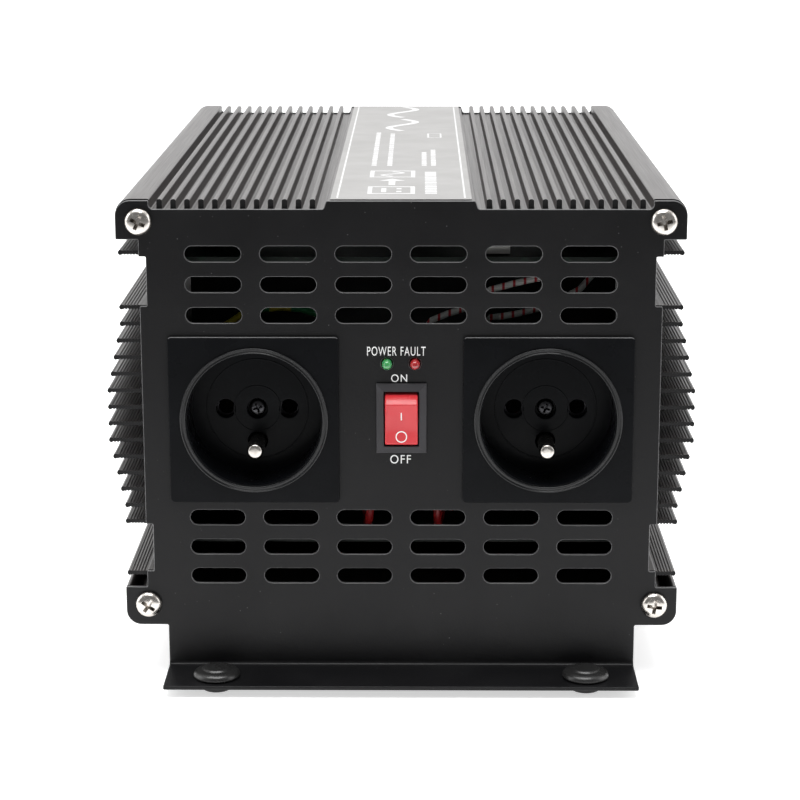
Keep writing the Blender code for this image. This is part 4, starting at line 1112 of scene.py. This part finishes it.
def make_label():
    low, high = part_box("top_label")
    plate = block(low, high, 0.0001, 1)
    add_piece("label_plate", plate, LABEL, None, ["top_label"])
    ink = []
    for side in (-1, 1):
        ink.append(bar(0.0030, 0.2430, side * 0.0185 - 0.00025, side * 0.0185 + 0.00025))
    ink += square_outline(0.0110, 0.0260, -0.0100, 0.0040, 0.0013)
    ink += [bar(0.0145, 0.0225, -0.0060, -0.0045)]
    ink += [bar(0.0145, 0.0168, -0.0015, 0.0000), bar(0.0202, 0.0225, -0.0015, 0.0000)]
    ink += [bar(0.0290, 0.0380, -0.0040, -0.0020), [(0.0380, -0.0070), (0.0425, -0.0030), (0.0380, 0.0010)]]
    ink += square_outline(0.0455, 0.0605, -0.0100, 0.0040, 0.0013)
    ink.append(sine(0.0480, 0.0580, -0.0030, 0.0032, 0.0013))
    ink += fine_print(0.0110, 0.0580, 0.0070, 0.0105, 3)
    lines = ((0.160, -0.0100), (0.158, -0.0050), (0.107, 0.0060), (0.112, 0.0090))
    for number, (end, across) in enumerate(lines):
        ink += fine_print(0.072, end, across, across + 0.0016, 10 + number)
    ink += square_outline(0.1450, 0.1570, 0.0080, 0.0130, 0.0006)
    ink.append(sine(0.1650, 0.2010, -0.0010, 0.0048, 0.0026))
    ink.append(sine(0.2070, 0.2430, -0.0010, 0.0048, 0.0026))
    add_piece("label_ink", on_label(ink), INK, None, angle=10)


make_words()
make_label()


# Fans, seen from the rear

FAN_BACK = 0.0165


def fan_frame_mesh():
    spots = [(x, z) for x in (-0.025, 0.025) for z in (-0.025, 0.025)]
    holes = [circle(0, 0, 0.0285, 96)] + [circle(x, z, 0.00215, 24) for x, z in spots]
    front, back = 0.0015, FAN_BACK
    outline = rounded_rectangle(0, 0, 0.0600, 0.0600, 0.0035)
    parts = []
    for near in (front, back - 0.0035):
        parts.append(filled([outline] + holes, near, near + 0.0035, 0.0004, 2))
    parts.append(turned(tube_section(0.0285, 0.0298, -front - 0.001, -back + 0.001), 96, closed=True))
    base = [(0, -back + 0.0020, 0), (0.0118, -back + 0.0020, 0.0004), (0.0130, -back + 0.0014, 0.0004)]
    base += [(0.0130, -back + 0.0001, 0.0002), (0, -back + 0.0001, 0)]
    parts.append(turned(soften(base, closed=False), 48))
    for number in range(4):
        strut = block((0.0110, back - 0.0019, -0.0014), (0.0292, back - 0.0003, 0.0014), 0.0003)
        parts.append(moved(strut, turn(20 + 90 * number, "Y")))
    return merged(parts)


def blade_mesh(middle, half_depth):
    """One cambered blade, twisted from root to tip."""
    loops = []
    for step in range(7):
        share = step / 6
        radius = 0.0112 + (0.0270 - 0.0112) * share
        pitch = math.radians(34 + 16 * share)
        chord = 0.0105 + 0.0050 * share
        chord = min(chord, 2 * half_depth / math.cos(pitch))
        sweep = 0.10 * share
        upper, lower = [], []
        for point in range(9):
            t = point / 8
            along = (t - 0.5) * chord
            camber = 0.0011 * math.sin(math.pi * t)
            thick = 0.0006 * math.sin(math.pi * (0.12 + 0.76 * t))
            for target, offset in ((upper, camber + thick), (lower, camber - thick)):
                around = along * math.sin(pitch) + offset * math.cos(pitch)
                deep = along * math.cos(pitch) - offset * math.sin(pitch)
                angle = around / radius + sweep
                target.append((radius * math.sin(angle), middle + deep, radius * math.cos(angle)))
        loops.append(upper + lower[::-1])
    return loft(loops)


def rotor_mesh():
    front, back = 0.0025, 0.0135
    hub = [(0, -front - 0.0004, 0), (0.0085, -front - 0.0002, 0.0006), (0.0108, -front - 0.0003, 0.0008)]
    hub += [(0.0120, -front - 0.0016, 0.0008), (0.0120, -back, 0.0003), (0, -back, 0)]
    parts = [turned(soften(hub, closed=False), 72)]
    for number in range(7):
        parts.append(moved(blade_mesh((front + back) / 2, 0.0050), turn(360 * number / 7, "Y")))
    return merged(parts)


def ring_route(radius, y, steps=72, x=0.0, z=0.0):
    return [(px, y, pz) for px, pz in circle(x, z, radius, steps)]


def guard_mesh():
    """Rings on four diagonal wires, each end curled into a screw eye."""
    rings = [ring_route(radius, -0.0025) for radius in (0.0080, 0.0145, 0.0210, 0.0275)]
    parts = [tube(rings, 0.0008, cyclic=True)]
    routes = []
    corner = 0.0250
    reach = corner - 0.0022
    for sx, sz in ((1, 1), (-1, 1)):
        stops = [(-reach, -0.0012), (-0.0205, -0.0012), (0, -0.0012), (0.0205, -0.0012), (reach, -0.0012)]
        routes.append(smooth_route([(sx * along, y, sz * along) for along, y in stops]))
    parts.append(tube(routes, 0.0008))
    eyes = [ring_route(0.0030, -0.0012, 36, x, z) for x in (-corner, corner) for z in (-corner, corner)]
    parts.append(tube(eyes, 0.0008, cyclic=True))
    return merged(parts)


def make_fans():
    for where, side in (("left", -1), ("right", 1)):
        spot = REAR @ shift(side * FAN_X, 0, FAN_Z)
        housing, guard = fan_frame_mesh(), guard_mesh()
        add_piece(f"fan_housing_{where}", housing, PLASTIC, spot, [f"fan_frame_{where}"])
        blades = moved(rotor_mesh(), turn(11 * side, "Y"))
        node, body = f"fan_rotor_{where}", f"rotor_{where}"
        add_piece(f"fan_blades_{where}", blades, PLASTIC, spot, [node], body)
        add_piece(f"finger_guard_{where}", guard, CHROME, spot, [f"fan_guard_{where}"])
        number = 0
        for x in (-0.025, 0.025):
            for z in (-0.025, 0.025):
                number += 1
                mesh = screw_mesh(0.0036, 0.0020, 0.0018, 0.0140, seat=0.0019, spin=17 * number)
                add_piece(f"fan_bolt_{where}_{number}", mesh, NICKEL, spot @ shift(x, 0, z))


make_fans()


# Battery terminals

BARREL_TOP = 0.0095


def terminal_mesh():
    profile = [
        (0.0044, BARREL_TOP, 0.0003), (0.0090, BARREL_TOP, 0.0004),
        (0.0095, BARREL_TOP - 0.0006, 0.0002), (0.0095, 0.0046, 0.0006), (0.0106, 0.0036, 0.0006),
        (0.0130, 0.0032, 0.0004), (0.0135, 0.0027, 0.0003), (0.0135, 0.0003, 0.0002),
        (0.0064, 0.0003, 0), (0.0064, -0.0060, 0), (0.0044, -0.0060, 0),
    ]
    return turned(soften(profile), 72, closed=True)


def stud_mesh():
    profile = [(0, 0.0180, 0), (0.0030, 0.0180, 0.0002), (0.0036, 0.0174, 0.0001)]
    level = 0.0170
    while level > -0.0135:
        profile += [(0.0040, level, 0), (0.0040, level - 0.0002, 0), (0.0034, level - 0.0007, 0)]
        level -= 0.00125
    profile += [(0.0036, -0.0140, 0), (0, -0.0140, 0)]
    return turned(soften(profile, closed=False), 40)


def nut_mesh(back, thick):
    half = 0.0065
    hexagon = circle(0, 0, 2 * half / math.sqrt(3), 6)
    nut = filled([hexagon], -back - thick, -back)
    profile = [
        (0, back + thick + 0.0001), (half * 0.93, back + thick + 0.0001),
        (half * 1.17, back + thick - 0.0010), (half * 1.17, back + 0.0008),
        (half * 0.97, back - 0.0001), (0, back - 0.0001),
    ]
    nut = boolean(nut, turned(profile, 72), "INTERSECT")
    top, bottom = back + thick + 0.001, back - 0.001
    bore = turned([(0, top), (0.0043, top), (0.0043, bottom), (0, bottom)], 40)
    return boolean(nut, bore)


def make_terminals():
    washer = [(0.0044, 0.0098, 0.0001), (0.0044, 0.0109, 0.0001)]
    washer += [(0.0075, 0.0109, 0.0002), (0.0075, 0.0098, 0.0002)]
    poles = (
        ("red", -TERMINAL_X, TERMINAL_RED, "terminal_red"),
        ("black", TERMINAL_X, TERMINAL_BLACK, "black_plastic"),
    )
    for colour, x, finish, slot in poles:
        spot = REAR @ shift(x, 0, TERMINAL_Z)
        node = colour + "_terminal_"
        add_piece(f"post_base_{colour}", terminal_mesh(), finish, spot, [node + "base"])
        add_piece(f"post_stud_{colour}", stud_mesh(), BRASS, spot, [node + "stud"])
        mesh = merged([nut_mesh(0.0111, 0.0051), turned(soften(washer), 56, closed=True)])
        add_piece(f"post_nut_{colour}", mesh, NICKEL, spot, [node + "nut"])
        sign = [(0.0030, 0.0006), (-0.0030, 0.0006)]
        if colour == "red":
            sign = [(0.0030, 0.0006), (0.0006, 0.0006), (0.0006, 0.0030)]
            sign += [(-0.0006, 0.0030), (-0.0006, 0.0006), (-0.0030, 0.0006)]
        sign += [(-x, -z) for x, z in sign]
        sign_spot = REAR @ shift(x, 0, TERMINAL_Z + 0.0190)
        add_piece(f"print_pole_{colour}", filled([sign], -0.00008, -0.00001), PRINT, sign_spot)


make_terminals()


# Inside the case: the frame's own solids with finishes, the contact sleeves' dark one painted shade, the
# loose leads seen through the slots, and a dark sheet put in as painted shade


def dress(node, material, rim=0.0003, smooth=False):
    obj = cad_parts[node]
    obj.data.materials.clear()
    obj.data.materials.append(material)
    if smooth:
        rounding = obj.modifiers.new("rounding", "SUBSURF")
        rounding.levels = 1
        rounding.render_levels = 1
    elif rim:
        edges = obj.modifiers.new("edges", "BEVEL")
        edges.width = rim
        edges.segments = 2
        edges.limit_method = "ANGLE"
        edges.angle_limit = math.radians(50)


def dress_inside():
    for node in ("power_board", "output_board"):
        dress(node, BOARD, 0.0)
    for side in ("left", "right"):
        dress(f"transformer_{side}", FERRITE, 0.0008)
        dress(f"high_voltage_capacitor_{side}", SLEEVE, 0.0)
        dress(f"input_capacitor_{side}", SLEEVE, 0.0)
        dress(f"transistor_row_{side}", PLASTIC, 0.0002)
        # The contact sleeves deep in the pin holes are dark so the holes read dark: painted shade.
        for role in ("live", "neutral"):
            dress(f"{side}_outlet_{role}_sleeve", DARK_STEEL, 0.0)
    dress("output_coil", COPPER, 0.0)
    dress("lead_connector", NYLON, 0.0002)
    dress("battery_lead_red", RED_LEAD, 0.0)
    dress("battery_lead_black", BLACK_LEAD, 0.0)
    dress("earth_wire", EARTH, 0.0)
    dress("live_lead", WHITE_LEAD, 0.0)
    dress("neutral_lead", WHITE_LEAD, 0.0)


def make_loose_leads():
    routes = {
        "lead_red_a": [
            (-0.012, 0.060, -0.0400), (-0.0110, 0.0300, -0.0400), (-0.0100, 0.0180, -0.0370),
            (-0.0095, 0.0145, -0.0300), (-0.0100, 0.0150, -0.0220),
        ],
        "lead_red_b": [
            (0.014, 0.070, -0.0410), (0.0120, 0.0350, -0.0405), (0.0110, 0.0200, -0.0380),
            (0.0105, 0.0170, -0.0300), (0.0060, 0.0165, -0.0200),
        ],
        "lead_red_c": [
            (0.056, 0.0460, -0.0410), (0.0500, 0.0400, -0.0330), (0.0400, 0.0385, -0.0300),
            (0.0300, 0.0390, -0.0300), (0.0200, 0.0400, -0.0340), (0.0150, 0.0450, -0.0410),
        ],
    }
    for name, route in routes.items():
        mesh = tube([smooth_route(route)], 0.0013)
        add_piece(name, mesh, RED_LEAD, FRONT)


def make_shade_sheet():
    """A black sheet that closes off the outlet bay from the power stage behind it and keeps the fans' light
    out, so the inside seen through the slots stays dark: a dark sheet put in as painted shade.
    """
    outline = rounded_rectangle(0, 0.0010, 0.1380, 0.0820, 0.0030)
    mesh = filled([outline], 0.0780, 0.0786, 0.0002, 1)
    add_piece("shade_sheet", mesh, TERMINAL_BLACK, FRONT)


dress_inside()
make_loose_leads()
make_shade_sheet()
